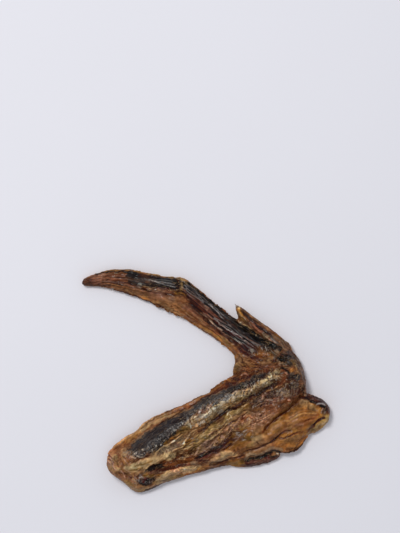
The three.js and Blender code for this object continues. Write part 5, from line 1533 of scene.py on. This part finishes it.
class WingSkinSettings(bpy.types.PropertyGroup):
    """The skin's relief and finish."""

    step: length("Mesh step", "Size of the skin's faces", 0.36 * MM)
    fold_depth: factor("Fold depth", "Strength of the drawn folds", 1.0)
    wrinkle: length("Wrinkle depth", "Depth of the fine creases", 0.26 * MM)
    shrivel_size: length("Shrivel size", "Width of the shrivelled lumps", 3 * MM)
    pebble: length("Pebble height", "Height of the crinkled skin's grain", 0.14 * MM)
    pore_depth: length("Pore depth", "Depth of the finest relief", 0.5 * MM)
    crispness: factor("Crispness", "How sharp the edges of stains are", 0.85)
    grease: factor("Grease", "How much fat shines on the skin", 0.14)


class WingStudioSettings(bpy.types.PropertyGroup):
    """Table, light and camera."""

    table_colour: FloatVectorProperty(
        name="Table colour", description="Colour of the tabletop", subtype="COLOR", default=(0.75, 0.745, 0.8)
    )
    table_size: length("Table size", "Length of the tabletop's sides", 3.0)
    sky: FloatProperty(
        name="Room light", description="Strength of the light from all round", default=0.55, min=0
    )
    key_power: FloatProperty(
        name="Window light", description="Power of the large soft light", default=6.6, min=0, unit="POWER"
    )
    key_size: length("Window size", "Width of the large soft light", 0.26)
    camera_height: length("Camera height", "Height of the camera over the table", EYE_HEIGHT)
    view_length: length("View length", "Length of table seen from top to bottom", 0.2505)


SKY_COLOUR = (0.93, 0.96, 1.0, 1.0)
WINDOW_COLOUR = (1.0, 0.985, 0.96)
WINDOW_PLACE = (-0.3, 0.38, 1.02)  # in metres, up and to the left of the wing's far side
SENSOR_HEIGHT = 36  # in millimetres, as Blender counts a lens


# Operators

class WING_OT_skin(bpy.types.Operator):
    """Builds the wrinkled, stained skin over the packed wing"""

    bl_idname = "wing.skin"
    bl_label = "Build the Skin"
    bl_options = {"REGISTER", "UNDO"}

    def execute(self, context):
        settings = context.scene.wing_skin
        paints = context.scene.wing_paints
        piece = even_copy(settings.step)
        surface = Surface(piece.data)
        soften_facets(surface)
        surface.measure()
        grain = limb_grain(surface)
        raise_relief(surface, grain, settings)
        surface.measure()
        store_looks(surface, grain, settings, paints)
        piece.data.materials.append(skin_material(settings, paints))
        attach(piece, "root")
        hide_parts(NODE)
        return {"FINISHED"}


class WING_OT_stubs(bpy.types.Operator):
    """Sets the last stubs of feathers into the skin"""

    bl_idname = "wing.stubs"
    bl_label = "Set the Feather Stubs"
    bl_options = {"REGISTER", "UNDO"}

    def execute(self, context):
        surface = Surface(bpy.data.objects[SKIN].data)
        surface.measure()
        piece = bpy.data.objects.new(STUBS, feather_stubs(surface))
        context.scene.collection.objects.link(piece)
        piece.data.materials.append(stub_material(context.scene.wing_paints))
        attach(piece, "root")
        return {"FINISHED"}


class WING_OT_studio(bpy.types.Operator):
    """Sets the table, the soft light and the camera"""

    bl_idname = "wing.studio"
    bl_label = "Set the Studio"
    bl_options = {"REGISTER", "UNDO"}

    def execute(self, context):
        settings = context.scene.wing_studio
        table = self.table(context, settings)
        table.data.materials.append(table_material(settings))
        self.light(context, settings)
        self.camera(context, settings)
        return {"FINISHED"}

    def table(self, context, settings):
        bm = bmesh.new()
        bmesh.ops.create_grid(bm, x_segments=2, y_segments=2, size=settings.table_size / 2)
        mesh = bpy.data.meshes.new("table")
        bm.to_mesh(mesh)
        bm.free()
        table = bpy.data.objects.new("table", mesh)
        context.scene.collection.objects.link(table)
        return table

    def light(self, context, settings):
        world = bpy.data.worlds.new("room")
        world.use_nodes = True
        sky = world.node_tree.nodes["Background"]
        sky.inputs["Color"].default_value = SKY_COLOUR
        sky.inputs["Strength"].default_value = settings.sky
        context.scene.world = world
        lamp = bpy.data.lights.new("window", "AREA")
        lamp.shape = "SQUARE"
        lamp.size = settings.key_size
        lamp.energy = settings.key_power
        lamp.color = WINDOW_COLOUR
        window = bpy.data.objects.new("window", lamp)
        window.location = WINDOW_PLACE
        window.rotation_euler = (-window.location).to_track_quat("-Z", "Y").to_euler()
        context.scene.collection.objects.link(window)

    def camera(self, context, settings):
        lens = bpy.data.cameras.new("camera")
        lens.sensor_fit = "VERTICAL"
        lens.sensor_height = SENSOR_HEIGHT
        lens.lens = SENSOR_HEIGHT * settings.camera_height / settings.view_length
        lens.dof.use_dof = False
        camera = bpy.data.objects.new("camera", lens)
        camera.location = (*VIEW_MIDDLE, settings.camera_height)
        context.scene.collection.objects.link(camera)
        context.scene.camera = camera
        context.scene.view_settings.view_transform = "Standard"


class WING_PT_panel(bpy.types.Panel):
    """Sizes, colours and steps of the dried duck wing"""

    bl_label = "Dried Duck Wing"
    bl_idname = "WING_PT_panel"
    bl_space_type = "VIEW_3D"
    bl_region_type = "UI"
    bl_category = "Duck Wing"

    def draw(self, context):
        for name, group in GROUPS.items():
            box = self.layout.box()
            box.label(text=group.__doc__)
            for prop in group.__annotations__:
                box.prop(getattr(context.scene, name), prop)
        for operator in OPERATORS:
            self.layout.operator(operator.bl_idname)


GROUPS = {"wing_paints": WingPaints, "wing_skin": WingSkinSettings, "wing_studio": WingStudioSettings}
OPERATORS = (WING_OT_skin, WING_OT_stubs, WING_OT_studio)
CLASSES = (*GROUPS.values(), *OPERATORS, WING_PT_panel)


def register():
    for cls in CLASSES:
        bpy.utils.register_class(cls)
    for name, group in GROUPS.items():
        setattr(bpy.types.Scene, name, PointerProperty(type=group))


def unregister():
    for name in GROUPS:
        delattr(bpy.types.Scene, name)
    for cls in reversed(CLASSES):
        bpy.utils.unregister_class(cls)


def main():
    """Builds every piece in order."""
    register()
    bpy.ops.wing.studio()
    bpy.ops.wing.skin()
    bpy.ops.wing.stubs()


if __name__ == "__main__":
    main()
